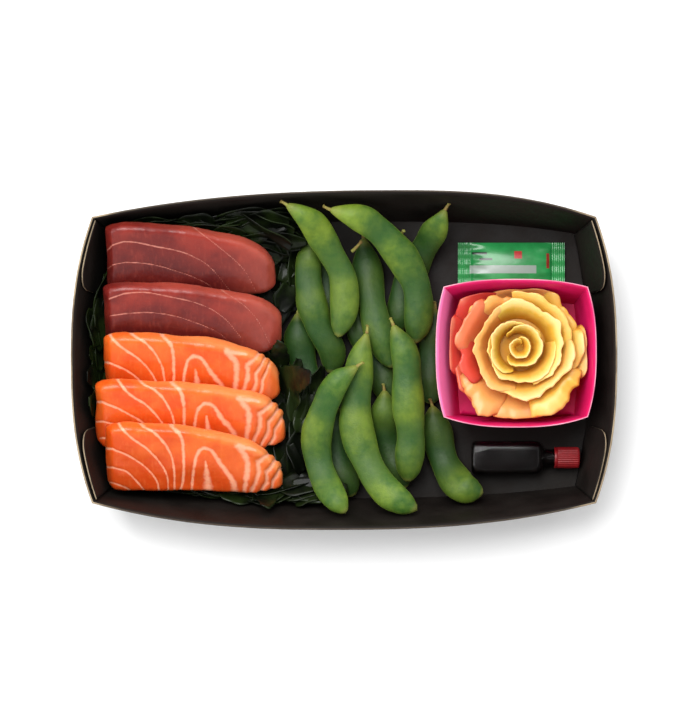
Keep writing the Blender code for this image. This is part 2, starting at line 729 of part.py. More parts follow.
def bottle_shape(inset, with_neck=True):
    """Rings of the bottle from its base to its mouth, drawn in by an inset."""
    half_y, half_z = BOTTLE_HALF
    rings = [
        bottle_ring(inset, half_y * 0.82 - inset, half_z * 0.80 - inset, 3.2),
        bottle_ring(inset + 0.0012, half_y - inset, half_z - inset, 4),
        bottle_ring(BOTTLE_BODY * 0.85, half_y - inset, half_z - inset, 4),
        bottle_ring(BOTTLE_BODY * 0.94, half_y * 0.88 - inset, half_z * 0.92 - inset, 3.2),
        bottle_ring(BOTTLE_BODY, NECK_RADIUS - inset, NECK_RADIUS - inset, 2),
    ]
    if with_neck:
        rings.append(bottle_ring(NECK_END, NECK_RADIUS - inset, NECK_RADIUS - inset, 2))
    return rings


def make_bottle():
    """A soft plastic bottle lying on its side: shell, sauce inside it and ribbed cap."""
    clear_plastic = finish("clear_plastic", (0.75, 0.75, 0.78), 0.1)
    sauce = finish("soy_liquid", (0.02, 0.01, 0.008), 0.15)
    red_plastic = finish("red_plastic", (0.62, 0.05, 0.07), 0.45)
    shell = bottle_shape(0.0) + bottle_shape(BOTTLE_WALL)[::-1]
    bottle = add_solid("soy_bottle", skin(shell), clear_plastic)
    filling = add_solid("soy_sauce", skin(bottle_shape(BOTTLE_WALL + GAP, False)), sauce)
    bore = NECK_RADIUS + GAP
    cap = [
        cap_ring(CAP_START, CAP_RADIUS, 0.00025),
        cap_ring(CAP_END - 0.0006, CAP_RADIUS, 0.00025),
        cap_ring(CAP_END, CAP_RADIUS - 0.0006, 0.0),
    ]
    inner = [cap_ring(NECK_END + GAP, bore, 0.0), cap_ring(CAP_START, bore, 0.0)]
    lid = add_solid("soy_cap", skin_open(inner, cap), red_plastic)
    return [bottle, filling, lid]


def cap_ring(x, radius, rib):
    """A ring of the cap, with shallow ribs round it."""
    ring = []
    for k in range(2 * CAP_RIBS):
        angle = math.pi * k / CAP_RIBS
        reach = radius - (rib if k % 2 else 0.0)
        ring.append((BOTTLE_BASE_X + x, BOTTLE_AXIS_Y + reach * math.cos(angle),
                     BOTTLE_AXIS_Z + reach * math.sin(angle)))
    return np.array(ring)


def skin_open(inner, outer):
    """A cup: an inner skin and an outer one that meet at the mouth."""
    return skin(inner + outer)


def main():
    clear_scene()
    tray = make_tray()
    pot = make_pot()
    pile = np.full(GRID_SHAPE, CARD)
    floor, rim = tray_walls(CARD)
    raise_pile(pile, [floor, rim], 90)
    bed = make_bed(pile)
    low = make_pods(LOW_PODS, 1, pile)
    slices = make_slices(pile)
    high = make_pods(HIGH_PODS, 1 + len(LOW_PODS), pile)
    make_leaves(bed, [tray, pot, *low, *slices, *high])
    make_rose()
    make_sachet()
    make_bottle()


main()
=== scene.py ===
# %% [markdown]
# # A takeaway sushi tray
#
# This lesson dresses a packed tray of sushi. The solids come in as a fixed frame: they hold the
# sizes and the places of every slice, pod and carton. Here each of them gets the skin that an eye
# would see from close by: moist fish with fat lines, downy pods, wet seaweed, thin folded card.
# Everything is in metres. X runs along the tray, Y across it and Z up.

# %% Load the fixed frame
import math
import random

import bmesh
import bpy
import numpy as np
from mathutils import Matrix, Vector, noise
from mathutils.bvhtree import BVHTree


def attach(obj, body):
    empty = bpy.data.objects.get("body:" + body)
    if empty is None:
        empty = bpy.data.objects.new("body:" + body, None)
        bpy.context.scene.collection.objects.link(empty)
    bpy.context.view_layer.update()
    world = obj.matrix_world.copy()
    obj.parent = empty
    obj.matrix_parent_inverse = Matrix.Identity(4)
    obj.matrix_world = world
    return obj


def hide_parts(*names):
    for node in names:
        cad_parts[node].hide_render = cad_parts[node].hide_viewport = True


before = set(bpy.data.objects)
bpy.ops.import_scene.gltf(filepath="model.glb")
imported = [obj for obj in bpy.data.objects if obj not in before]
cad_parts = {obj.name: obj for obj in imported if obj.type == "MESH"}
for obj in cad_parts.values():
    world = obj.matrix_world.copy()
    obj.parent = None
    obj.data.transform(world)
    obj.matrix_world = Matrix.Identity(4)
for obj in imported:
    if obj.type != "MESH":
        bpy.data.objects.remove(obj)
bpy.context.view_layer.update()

# %% [markdown]
# ## Helpers for meshes
#
# Most of what lies in the tray is either a sheet or a tube. Both can start from the same thing: a
# flat grid of faces made by one bmesh operator. Its points are then moved to where the sheet
# should be, as paper is laid over a form. The grid brings a UV map with it, which patterns can
# follow later.

# %% Sheets, tubes and finished pieces
SAME_PLACE = 1e-6


def patch(columns, rows, place):
    """A sheet of faces whose points are moved from the unit square to place(u, v)."""
    shape = bmesh.new()
    shape.loops.layers.uv.new("UVMap")
    bmesh.ops.create_grid(shape, x_segments=columns, y_segments=rows, size=0.5, calc_uvs=True)
    for vert in shape.verts:
        vert.co = place(vert.co.x + 0.5, vert.co.y + 0.5)
    return shape


def skin(rings):
    """A sheet pulled over closed rings of equally many points."""
    count = len(rings[0])
    rows = len(rings) - 1
    shape = patch(count, rows, lambda u, v: rings[round(v * rows)][round(u * count) % count])
    weld(shape)
    return shape


def weld(shape):
    """Merges points that coincide, and turns all faces of the shape alike."""
    bmesh.ops.remove_doubles(shape, verts=shape.verts, dist=SAME_PLACE)
    bmesh.ops.recalc_face_normals(shape, faces=shape.faces)


def closed_tube(rings):
    """A tube over rings, with both its ends closed."""
    shape = skin(rings)
    bmesh.ops.holes_fill(shape, edges=shape.edges[:], sides=0)
    bmesh.ops.recalc_face_normals(shape, faces=shape.faces)
    return shape


def turn_outwards(shape, middle):
    """Flips an open sheet if most of it faces the given middle."""
    middle = Vector(middle)
    facing = sum((face.calc_center_median() - middle).dot(face.normal) for face in shape.faces)
    if facing < 0:
        bmesh.ops.reverse_faces(shape, faces=shape.faces)


def gather(shapes):
    """Puts several bmeshes into one."""
    whole = bmesh.new()
    for shape in shapes:
        mesh = bpy.data.meshes.new("part")
        shape.to_mesh(mesh)
        shape.free()
        whole.from_mesh(mesh)
        bpy.data.meshes.remove(mesh)
    return whole


def add_object(name, data):
    """Makes an object of a mesh, a light or a camera and puts it in the scene."""
    made = bpy.data.objects.new(name, data)
    bpy.context.scene.collection.objects.link(made)
    return made


def add_piece(name, shape, materials, nodes=(), sharp=40):
    """Makes an object of the bmesh, lets it ride on the frame and stand for CAD nodes."""
    mesh = bpy.data.meshes.new(name)
    shape.to_mesh(mesh)
    shape.free()
    for material in materials:
        mesh.materials.append(material)
    mesh.shade_smooth()
    mesh.set_sharp_from_angle(angle=math.radians(sharp))
    piece = add_object(name, mesh)
    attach(piece, "root")
    if nodes:
        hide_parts(*nodes)
    print(f"{name}: {len(mesh.polygons)} faces")
    return piece


def thicken(piece, thickness, rim_material=0, offset=-1.0):
    """Gives a sheet its thickness. The rim can show another material, as cut card does."""
    solidify = piece.modifiers.new("Thickness", "SOLIDIFY")
    solidify.thickness = thickness
    solidify.offset = offset
    solidify.use_even_offset = True
    solidify.material_offset_rim = rim_material


def merged_copy(node):
    """A bmesh of a CAD node with its loose triangles merged."""
    shape = bmesh.new()
    shape.from_mesh(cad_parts[node].data)
    bmesh.ops.remove_doubles(shape, verts=shape.verts, dist=SAME_PLACE)
    return shape


def points_of(vertices):
    """The places of vertices as an array."""
    return np.array([vertex.co for vertex in vertices])


def smooth_path(points, count):
    """Evenly spaced points on a Catmull-Rom curve through the given ones."""
    points = np.array(points, float)
    ends = np.vstack([2 * points[0] - points[1], points, 2 * points[-1] - points[-2]])
    fine = []
    for a, b, c, d in zip(ends, ends[1:], ends[2:], ends[3:]):
        for t in np.linspace(0, 1, 24, endpoint=False):
            bend = (2 * a - 5 * b + 4 * c - d) * t**2 + (3 * b - 3 * c + d - a) * t**3
            fine.append(0.5 * (2 * b + (c - a) * t + bend))
    fine = np.vstack([fine, points[-1:]])
    run = np.concatenate([[0], np.cumsum(np.linalg.norm(np.diff(fine, axis=0), axis=1))])
    wanted = np.linspace(0, run[-1], count)
    return np.stack([np.interp(wanted, run, fine[:, k]) for k in range(fine.shape[1])], axis=1)


def store(mesh, name, values):
    """Keeps one number for each point of a mesh, for its material to read."""
    attribute = mesh.attributes.new(name, "FLOAT", "POINT")
    attribute.data.foreach_set("value", np.asarray(values, np.float32))


# %% [markdown]
# ## Helpers for materials
#
# A material here is a small graph of nodes. Two effects are wanted on nearly everything in the
# tray: soft blotches between two colours, and a fine relief that breaks up the highlights. Each
# is built once as a node group with named sockets, and then placed wherever it is needed.

# %% Nodes and shared groups
def add_node(tree, kind, inputs=None, **settings):
    """Adds a node, then sets its options and fills or links its sockets."""
    node = tree.nodes.new(kind)
    for key, value in settings.items():
        setattr(node, key, value)
    for socket, value in (inputs or {}).items():
        if isinstance(value, bpy.types.NodeSocket):
            tree.links.new(value, node.inputs[socket])
        else:
            node.inputs[socket].default_value = value
    return node


def new_group(name, inputs, outputs):
    """An empty shader group with its sockets. Returns the tree and its two end nodes."""
    tree = bpy.data.node_groups.new(name, "ShaderNodeTree")
    for label, kind, value in inputs:
        socket = tree.interface.new_socket(label, in_out="INPUT", socket_type=kind)
        if value is not None:
            socket.default_value = value
    for label, kind in outputs:
        tree.interface.new_socket(label, in_out="OUTPUT", socket_type=kind)
    return tree, tree.nodes.new("NodeGroupInput"), tree.nodes.new("NodeGroupOutput")


def use_group(tree, group, inputs):
    """Places a group in a material with its own values."""
    return add_node(tree, "ShaderNodeGroup", inputs, node_tree=group)


def calculate(tree, operation, *values):
    """Works a value out of one, two or three others."""
    node = add_node(tree, "ShaderNodeMath", dict(enumerate(values)), operation=operation)
    return node.outputs[0]


def position(tree):
    """Where a point of the piece lies."""
    return add_node(tree, "ShaderNodeTexCoord").outputs["Object"]


def axis_of(tree, vector, axis):
    """One axis of a vector."""
    return add_node(tree, "ShaderNodeSeparateXYZ", {"Vector": vector}).outputs[axis]


def stored(tree, name):
    """The number that the mesh keeps under a name for each point."""
    return add_node(tree, "ShaderNodeAttribute", attribute_name=name).outputs["Fac"]


def clouds(tree, place, scale, detail, roughness=0.5):
    """Soft noise over a place."""
    node = add_node(tree, "ShaderNodeTexNoise", {"Vector": place, "Scale": scale,
                                                 "Detail": detail, "Roughness": roughness})
    return node.outputs["Fac"]


def mix(tree, factor, first, second):
    """Mixes two colours and returns the socket of the result."""
    first, second = (colour if isinstance(colour, bpy.types.NodeSocket) else (*colour, 1.0)
                     for colour in (first, second))
    node = add_node(tree, "ShaderNodeMix", {0: factor, 6: first, 7: second}, data_type="RGBA")
    return node.outputs[2]


def ramp(tree, value, low, high, start=0.0, end=1.0):
    """Maps a value from low..high to start..end with soft ends."""
    node = add_node(tree, "ShaderNodeMapRange", {0: value, 1: low, 2: high, 3: start, 4: end},
                    interpolation_type="SMOOTHSTEP")
    return node.outputs[0]


def build_blotches():
    """Two colours mixed in soft clouds of a given size."""
    tree, start, end = new_group(
        "Blotches",
        [("First", "NodeSocketColor", None), ("Second", "NodeSocketColor", None),
         ("Scale", "NodeSocketFloat", 80.0), ("Contrast", "NodeSocketFloat", 0.15)],
        [("Colour", "NodeSocketColor"), ("Mask", "NodeSocketFloat")],
    )
    cloud = clouds(tree, position(tree), start.outputs["Scale"], 4.0, 0.55)
    low = calculate(tree, "SUBTRACT", 0.5, start.outputs["Contrast"])
    high = calculate(tree, "ADD", 0.5, start.outputs["Contrast"])
    mask = ramp(tree, cloud, low, high)
    colour = mix(tree, mask, start.outputs["First"], start.outputs["Second"])
    tree.links.new(colour, end.inputs["Colour"])
    tree.links.new(mask, end.inputs["Mask"])
    return tree


def build_relief():
    """Fine bumps of two sizes, as a normal."""
    tree, start, end = new_group(
        "Fine relief",
        [("Scale", "NodeSocketFloat", 900.0), ("Depth", "NodeSocketFloat", 0.0002)],
        [("Normal", "NodeSocketVector")],
    )
    place, scale = position(tree), start.outputs["Scale"]
    fine = clouds(tree, place, scale, 3.0)
    broad = clouds(tree, place, calculate(tree, "MULTIPLY", scale, 0.22), 2.0)
    height = calculate(tree, "MULTIPLY_ADD", broad, 1.6, fine)
    bump = add_node(tree, "ShaderNodeBump",
                    {"Strength": 1.0, "Distance": start.outputs["Depth"], "Height": height})
    tree.links.new(bump.outputs["Normal"], end.inputs["Normal"])
    return tree


blotches = build_blotches()
fine_relief = build_relief()


def new_material(name, **values):
    """A material with a Principled shader, whose constants are set on its own sockets."""
    material = bpy.data.materials.new(name)
    material.use_nodes = True
    shader = material.node_tree.nodes["Principled BSDF"]
    for socket, value in values.items():
        shader.inputs[socket.replace("_", " ")].default_value = value
    return material, material.node_tree, shader


def cloudy(tree, first, second, scale, contrast):
    """The colour and the mask of one use of the blotches group."""
    node = use_group(tree, blotches, {"First": (*first, 1.0), "Second": (*second, 1.0),
                                      "Scale": scale, "Contrast": contrast})
    return node.outputs["Colour"], node.outputs["Mask"]


def finish(tree, shader, colour, grain=0.0, depth=0.0):
    """Feeds the shader its colour and, where a grain is given, the fine relief."""
    tree.links.new(colour, shader.inputs["Base Color"])
    if grain:
        node = use_group(tree, fine_relief, {"Scale": grain, "Depth": depth})
        tree.links.new(node.outputs["Normal"], shader.inputs["Normal"])


def vary_roughness(tree, shader, mask, low, high):
    """Lets the roughness follow a mask between two values."""
    tree.links.new(ramp(tree, mask, 0.0, 1.0, low, high), shader.inputs["Roughness"])


def plain_material(name, first, second, scale, contrast, grain=0.0, depth=0.0, **values):
    """A material of two colours in blotches, with the fine relief where a grain is given."""
    material, tree, shader = new_material(name, **values)
    colour, _ = cloudy(tree, first, second, scale, contrast)
    finish(tree, shader, colour, grain, depth)
    return material


# %% [markdown]
# ## The tray of black card
#
# The real tray is one blank of black card. It is creased round the floor, folded up and glued at
# the four corners with flaps that lie on the end walls. The cut edges show the card's pale core.
# The walls bow out because the card is bent along curved creases. A sheet laid over a floor
# outline and a rim outline gives that form, and a Solidify modifier gives it the card's thickness.

# %% Outlines with bowed sides
SIDE_STEPS = 48
BOW_POWER = 2.5
TRAY_FLOOR_HALF = (0.1037, 0.0565)
TRAY_RIM_HALF = (0.1088, 0.0618)
TRAY_FLOOR_BULGE = (0.0055, 0.0053, 0.0055, 0.0053)
TRAY_RIM_BULGE = (0.0116, 0.0092, 0.0116, 0.0092)
TRAY_PEAKS = (0.48, 0.5, 0.38, 0.5)
TRAY_WALL_SLANT = 0.0400
TRAY_CARD = 0.0007


def card_outline(centre, half, bulges, peaks=(0.5, 0.5, 0.5, 0.5), inset=0.0):
    """A four-sided outline whose sides bow out, from the front left corner round."""
    hx, hy = half[0] - inset, half[1] - inset
    corners = [Vector((-hx, -hy)), Vector((hx, -hy)), Vector((hx, hy)), Vector((-hx, hy))]
    outward = [Vector((0, -1)), Vector((1, 0)), Vector((0, 1)), Vector((-1, 0))]
    points = []
    for side in range(4):
        start, end = corners[side], corners[(side + 1) % 4]
        for step in range(SIDE_STEPS):
            u = step / SIDE_STEPS
            reach = peaks[side] if u < peaks[side] else 1 - peaks[side]
            bow = 1 - abs((u - peaks[side]) / reach) ** BOW_POWER
            place = start.lerp(end, u) + outward[side] * bulges[side] * bow
            points.append((centre[0] + place.x, centre[1] + place.y))
    return np.array(points)


def lift(outline, heights):
    """Plan points with one height each, or one height for all."""
    return np.column_stack([outline, np.broadcast_to(heights, len(outline))])


def tray_rings(inset=0.0):
    """The floor outline and the rim outline of the tray."""
    floor = card_outline((0, 0), TRAY_FLOOR_HALF, TRAY_FLOOR_BULGE, TRAY_PEAKS, inset)
    rim = card_outline((0, 0), TRAY_RIM_HALF, TRAY_RIM_BULGE, TRAY_PEAKS, inset)
    spread = np.linalg.norm(rim - floor, axis=1)
    return lift(floor, inset), lift(rim, np.sqrt(TRAY_WALL_SLANT**2 - spread**2))


def card_rings(floor, rim, levels):
    """Rings from the middle of the floor out to its crease and up the walls to the rim."""
    middle = floor.mean(axis=0)
    rings = [middle + (floor - middle) * share for share in (0.0, 0.5, 0.9, 0.985)]
    rings += [floor + (rim - floor) * t for t in np.linspace(0.0, 1.0, levels)]
    return rings


# %% Card materials
def make_card(name, dark, light, speckle, grain=700.0, gloss=0.5, ends_only=False):
    """Coated card: two near colours in blotches, pale specks, and the fibres' fine relief.

    With ends_only, a cut edge is pale at the tray's ends and dark along its sides.
    """
    material, tree, shader = new_material(name, Roughness=gloss, Specular_IOR_Level=0.22)
    colour, mask = cloudy(tree, dark, light, 60.0, 0.22)
    if ends_only:
        reach = calculate(tree, "ABSOLUTE", axis_of(tree, position(tree), "X"))
        inked = ramp(tree, reach, 0.095, 0.106, 0.90, 0.0)
        colour = mix(tree, inked, colour, (0.030, 0.022, 0.017))
    fibres = clouds(tree, position(tree), grain * 2, 2.0)
    specks = ramp(tree, fibres, 0.62, 0.80, 0.0, speckle)
    vary_roughness(tree, shader, mask, gloss - 0.06, gloss + 0.08)
    finish(tree, shader, mix(tree, specks, colour, (0.45, 0.38, 0.28)), grain, 0.00006)
    return material


black_card = make_card("black_card", (0.0058, 0.0042, 0.0032), (0.0098, 0.0070, 0.0052), 0.012,
                       gloss=0.6)
cut_edge = make_card("cut_edge", (0.40, 0.31, 0.20), (0.12, 0.085, 0.055), 0.2, 1400.0, 0.75,
                     ends_only=True)

floor_ring, rim_ring = tray_rings()
tray_shape = skin(card_rings(floor_ring, rim_ring, 9))
turn_outwards(tray_shape, (0, 0, 0.02))
tray_card = add_piece("tray_card", tray_shape, [black_card, cut_edge], ["tray"], 25)
thicken(tray_card, TRAY_CARD, 1)

# %% [markdown]
# ## The corner flaps
#
# Each end wall carries two glue flaps. A flap starts at its corner, follows the wall a little
# below the rim and ends in a round tab. It is a second sheet of the same card, so it is laid over
# the wall with a small gap and gets the same pale cut edge.

# %% Flaps on the end walls
FLAP_LENGTH = 0.0310
FLAP_ROUND = 0.0100
FLAP_LOW, FLAP_HIGH = 0.05, 0.955
FLAP_GAP = 0.0008
FLAP_LIFT = 0.0004
FLAP_START = 0.0006
FLAP_CARD = 0.0005


def flap_sheet(corner, turn):
    """One flap: stations along the wall by heights up the wall."""
    floor, rim = tray_rings(TRAY_CARD)
    reach = [(corner * SIDE_STEPS + turn * k) % len(floor) for k in range(SIDE_STEPS // 2)]
    low, high = floor[reach], rim[reach]
    run = np.concatenate([[0], np.cumsum(np.linalg.norm(np.diff(high, axis=0), axis=1))])
    inward = np.array([-1.0 if high[0, 0] > 0 else 1.0, 0.0, 0.15])

    def place(u, v):
        station = FLAP_START + (FLAP_LENGTH - FLAP_START) * u
        foot = np.array([np.interp(station, run, low[:, k]) for k in range(3)])
        head = np.array([np.interp(station, run, high[:, k]) for k in range(3)])
        past = max(0.0, station - (FLAP_LENGTH - FLAP_ROUND)) / FLAP_ROUND
        drop = FLAP_ROUND * (1 - math.sqrt(max(0.0, 1 - past**2))) / TRAY_WALL_SLANT
        share = (FLAP_LOW + drop) * (1 - v) + (FLAP_HIGH - drop) * v
        loose = FLAP_GAP + FLAP_LIFT * u * v
        return Vector(foot + (head - foot) * share + inward * loose)

    sheet = patch(30, 12, place)
    turn_outwards(sheet, (0, 0, 0.03))
    return sheet


flap_sheets = [flap_sheet(corner % 4, turn) for corner, turn in ((1, 1), (2, -1), (3, 1), (4, -1))]
tray_flaps = add_piece("tray_flaps", gather(flap_sheets), [black_card, cut_edge])
thicken(tray_flaps, FLAP_CARD, 1)

# %% [markdown]
# ## Slices of fish
#
# Each slice is a soft slab cut across the muscle. Its edges are rounded and its faces are never
# quite flat. The CAD slab has the right place and bend, but it has facets. A voxel remesh of a
# copy turns it into even small faces, and smoothing melts the facets together. Then the points
# move a little: shallow grooves along the fat lines, and slow waves over the faces.
#
# Fat lines follow the muscle, so they are drawn as curves in the slice's own plan: millimetres
# from its left end, and millimetres in front of its back edge. The three salmon slices were cut
# one after the other from one fillet, so one set of curves serves all of them, shifted and
# stretched for each.

# %% Curves of the fat lines
# Each line: its name, its width in mm at both ends, and its points.
SALMON_LINES = (
    ("lowest", 0.8, 0.7, ((-2, 25), (2.3, 26.0), (8, 29), (12.6, 32.6))),
    ("low", 0.9, 0.8, ((-4, 17), (1.5, 19.0), (8.9, 22.2), (13.6, 26.9), (17.8, 32.6))),
    ("first", 1.1, 0.8, ((-5, 8), (0.8, 10.5), (9.8, 15.1), (17.4, 20.2), (22.1, 25.9),
                         (23, 33))),
    ("second", 1.3, 0.8, ((4, -3), (7, 1.9), (11.7, 7.1), (18.3, 11.7), (24, 18.1), (26.8, 24.2),
                          (26.8, 33))),
    ("third", 1.5, 0.8, ((13, -4), (15.9, 0.9), (22, 4.8), (26.8, 10.3), (29.6, 18.3),
                         (29.6, 33))),
    ("fourth", 1.9, 1.0, ((26, -4), (29.1, 1), (33.4, 5.8), (34.1, 16), (33.4, 25.5), (31, 33))),
    ("arch rising", 1.1, 1.5, ((36.7, 34), (38.1, 21), (40, 12.2), (42.8, 8.9))),
    ("arch falling", 1.6, 3.6, ((42.8, 8.9), (46.6, 9.6), (50.4, 14.9), (55, 20.4), (56, 26.8),
                                (54.1, 33))),
    ("wedge", 0.9, 6.0, ((43.6, 14.5), (44.2, 22), (44.8, 34))),
    ("chevron", 3.2, 1.2, ((58.0, 4.5), (61.6, 10.0), (60.9, 19.8), (58.2, 33))),
    ("chevron arm", 2.8, 1.4, ((57.5, 4.8), (61.5, 4.4), (65.5, 3.6))),
    ("finger one", 2.3, 1.0, ((66.4, 8.8), (66.6, 13.0), (65.0, 19.0), (60.2, 31))),
    ("arm one", 1.9, 1.0, ((66.4, 8.8), (69.6, 4.8), (72.6, -1))),
    ("finger two", 1.8, 0.9, ((70.2, 11.0), (70.2, 15.0), (68.2, 20.0), (63.6, 30))),
    ("arm two", 1.5, 0.9, ((70.2, 11.0), (72.8, 6.0), (75.2, -1))),
    ("finger three", 1.4, 0.8, ((73.2, 12.5), (72.4, 17.0), (67.6, 27))),
    ("arm three", 1.2, 0.7, ((73.2, 12.5), (75.2, 7.0), (77.0, 1))),
)
TUNA_LINES = (
    ("upper", 0.7, 0.4, ((-3, 11.5), (10, 9.3), (23, 10.6), (36, 12.6), (46, 17), (54, 25))),
    ("lower", 0.5, 0.35, ((-3, 18.8), (16, 18.0), (30, 20), (44, 24), (52, 31))),
    ("slanting", 0.6, 0.4, ((33, -3), (46, 5), (60, 14), (67, 24))),
)

# Each slice: its name, its fish, and how the curves are moved along, stretched and moved across.
SLICES = (
    ("tuna_slice_1", "tuna", 0.0, 1.0, 0.0),
    ("tuna_slice_2", "tuna", 6.0, 1.0, -4.5),
    ("salmon_slice_1", "salmon", -3.0, 0.99, 0.0),
    ("salmon_slice_2", "salmon", 4.0, 1.02, 0.0),
    ("salmon_slice_3", "salmon", 0.0, 1.0, 0.0),
)


# %% From the CAD slab to a soft slice
MILLIMETRE = 0.001
FAR_FROM_FAT = 9.0
FISH_VOXEL = 0.0006
FISH_PASSES = 22
SLOW_WAVE = 0.00095
FINE_WAVE = 0.00010
FISH_SINK = 0.00010
GROOVES = {"salmon": 0.00018, "tuna": 0.00008}
SPLIT_START = 0.056
SPLIT_REACH = 0.020


def remeshed(node, voxel, passes):
    """A copy of a CAD node as one mesh of small even faces, with its facets smoothed away."""
    mesh = bpy.data.meshes.new(node + "_soft")
    shape = merged_copy(node)
    shape.to_mesh(mesh)
    shape.free()
    helper = add_object("helper", mesh)
    remesh = helper.modifiers.new("Voxels", "REMESH")
    remesh.mode = "VOXEL"
    remesh.voxel_size = voxel
    smooth = helper.modifiers.new("Melt", "SMOOTH")
    smooth.factor = 0.5
    smooth.iterations = passes
    bpy.context.view_layer.update()
    graph = bpy.context.evaluated_depsgraph_get()
    made = bpy.data.meshes.new_from_object(helper.evaluated_get(graph))
    bpy.data.objects.remove(helper, do_unlink=True)
    shape = bmesh.new()
    shape.from_mesh(made)
    return shape


def back_edge(node):
    """The slab's back edge in plan, as places along and the edge's Y there."""
    points = points_of(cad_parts[node].data.vertices)
    stations = np.unique(np.round(points[:, 0], 4))
    backs = [points[np.abs(points[:, 0] - x) < 1e-4, 1].max() for x in stations]
    return stations, np.array(backs)


def line_distance(lines, places):
    """Distance to the nearest fat line, counted in that line's own half width there."""
    near = np.full(len(places), FAR_FROM_FAT)
    for _, first_width, last_width, points in lines:
        path = smooth_path(np.array(points, float) * MILLIMETRE, 40)
        widths = np.linspace(first_width, last_width, len(path) - 1) * MILLIMETRE
        for start, end, half_width in zip(path, path[1:], widths / 2):
            along = end - start
            share = ((places - start) @ along / (along @ along)).clip(0, 1)
            gap = np.linalg.norm(places - start - share[:, None] * along, axis=1)
            near = np.minimum(near, gap / half_width)
    return near


def make_slice(name, kind, along, stretch, across):
    """A soft slice with grooves along its fat lines, which stores how its points lie to them."""
    shape = remeshed(name, FISH_VOXEL, FISH_PASSES)
    points = points_of(shape.verts)
    stations, backs = back_edge(name)
    from_left = points[:, 0] - stations.min()
    ahead = np.interp(points[:, 0], stations, backs) - points[:, 1]
    plan = np.column_stack([(from_left - along * MILLIMETRE) / stretch,
                            ahead - across * MILLIMETRE])
    fat = line_distance(SALMON_LINES if kind == "salmon" else TUNA_LINES, plan)
    shape.normal_update()
    for vert, near, run in zip(shape.verts, fat, from_left):
        wave = noise.noise(vert.co * 75.0) * SLOW_WAVE + noise.noise(vert.co * 330.0) * FINE_WAVE
        split = GROOVES[kind] * (1 + 3.5 * max(0.0, run - SPLIT_START) / SPLIT_REACH)
        vert.co += vert.normal * (wave - split * math.exp(-(near * 0.8) ** 2) - FISH_SINK)
    piece = add_piece(name + "_flesh", shape, [fish[kind]], [name], 180)
    store(piece.data, "fat", fat)
    store(piece.data, "ahead", ahead)
    store(piece.data, "along", from_left)


# %% Fish materials
def build_fat_lines():
    """Pale lines of fat where the stored distance is small, with uneven sides."""
    tree, start, end = new_group(
        "Fat lines",
        [("Flesh", "NodeSocketColor", None), ("Fat", "NodeSocketColor", None)],
        [("Colour", "NodeSocketColor")],
    )
    ragged = clouds(tree, position(tree), 420.0, 3.0)
    shift = calculate(tree, "MULTIPLY_ADD", ragged, 1.5, stored(tree, "fat"))
    mask = ramp(tree, shift, 0.95, 2.15, 1.0, 0.0)
    colour = mix(tree, mask, start.outputs["Flesh"], start.outputs["Fat"])
    tree.links.new(colour, end.inputs["Colour"])
    return tree


fat_lines = build_fat_lines()


def make_fish(name, deep, bright, shade, edge, fat, veil):
    """Moist flesh: two reds in blotches, painted shade lower down, painted light on the raised
    back edge, lines of fat.
    """
    material, tree, shader = new_material(
        name, Roughness=0.36, Subsurface_Weight=0.15, Subsurface_Radius=(0.005, 0.0015, 0.0008),
        Subsurface_Scale=0.3, Coat_Weight=0.16, Coat_Roughness=0.20, Specular_IOR_Level=0.32)
    flesh, _ = cloudy(tree, deep, bright, 70.0, 0.16)
    ahead, along = stored(tree, "ahead"), stored(tree, "along")
    # Painted shade: the slice grows darker towards its low front edge, away from the light.
    flesh = mix(tree, ramp(tree, ahead, 0.007, 0.022, 0.0, 0.75), flesh, shade)
    # Painted light: the raised back edge and its side face are paler, as if catching the light.
    slanted = calculate(tree, "MULTIPLY_ADD", along, -0.10, ahead)
    flesh = mix(tree, ramp(tree, slanted, -0.0045, 0.0012, 0.85, 0.0), flesh, edge)
    flesh = mix(tree, ramp(tree, along, 0.046, 0.074, 0.0, veil), flesh, edge)
    plan = add_node(tree, "ShaderNodeCombineXYZ", {0: along, 1: ahead})
    stretched = add_node(tree, "ShaderNodeMapping",
                         {"Vector": plan.outputs[0], "Scale": (700.0, 240.0, 1.0)})
    fibres = clouds(tree, stretched.outputs[0], 1.0, 4.0)
    flesh = mix(tree, ramp(tree, fibres, 0.50, 0.75, 0.0, 0.16), flesh, edge)
    lines = use_group(tree, fat_lines, {"Flesh": flesh, "Fat": (*fat, 1.0)})
    finish(tree, shader, lines.outputs["Colour"], 700.0, 0.00009)
    return material


# Each fish: deep and bright flesh, its painted shade, a paler colour for the painted light on the
# back edge, the right end and the fibres, its fat, and how pale its right end grows.
fish = {
    "tuna": make_fish("tuna", (0.135, 0.010, 0.008), (0.250, 0.023, 0.014), (0.068, 0.006, 0.006),
                      (0.40, 0.070, 0.044), (0.50, 0.17, 0.125), 0.50),
    "salmon": make_fish("salmon", (0.66, 0.070, 0.004), (0.78, 0.130, 0.014), (0.58, 0.052, 0.005),
                        (0.85, 0.25, 0.070), (0.87, 0.35, 0.205), 0.20),
}
for fish_slice in SLICES:
    make_slice(*fish_slice)

# %% [markdown]
# ## Edamame pods
#
# A pod is a flat tube that swells over each bean. It has a seam along both edges, ends in a
# pointed tip and hangs from a dry stem. The CAD keeps each pod's bend over its neighbours, so its
# heights are read from there: the two side points of every CAD ring lie at the height of the
# pod's middle line. A finer tube is then pulled over that line.

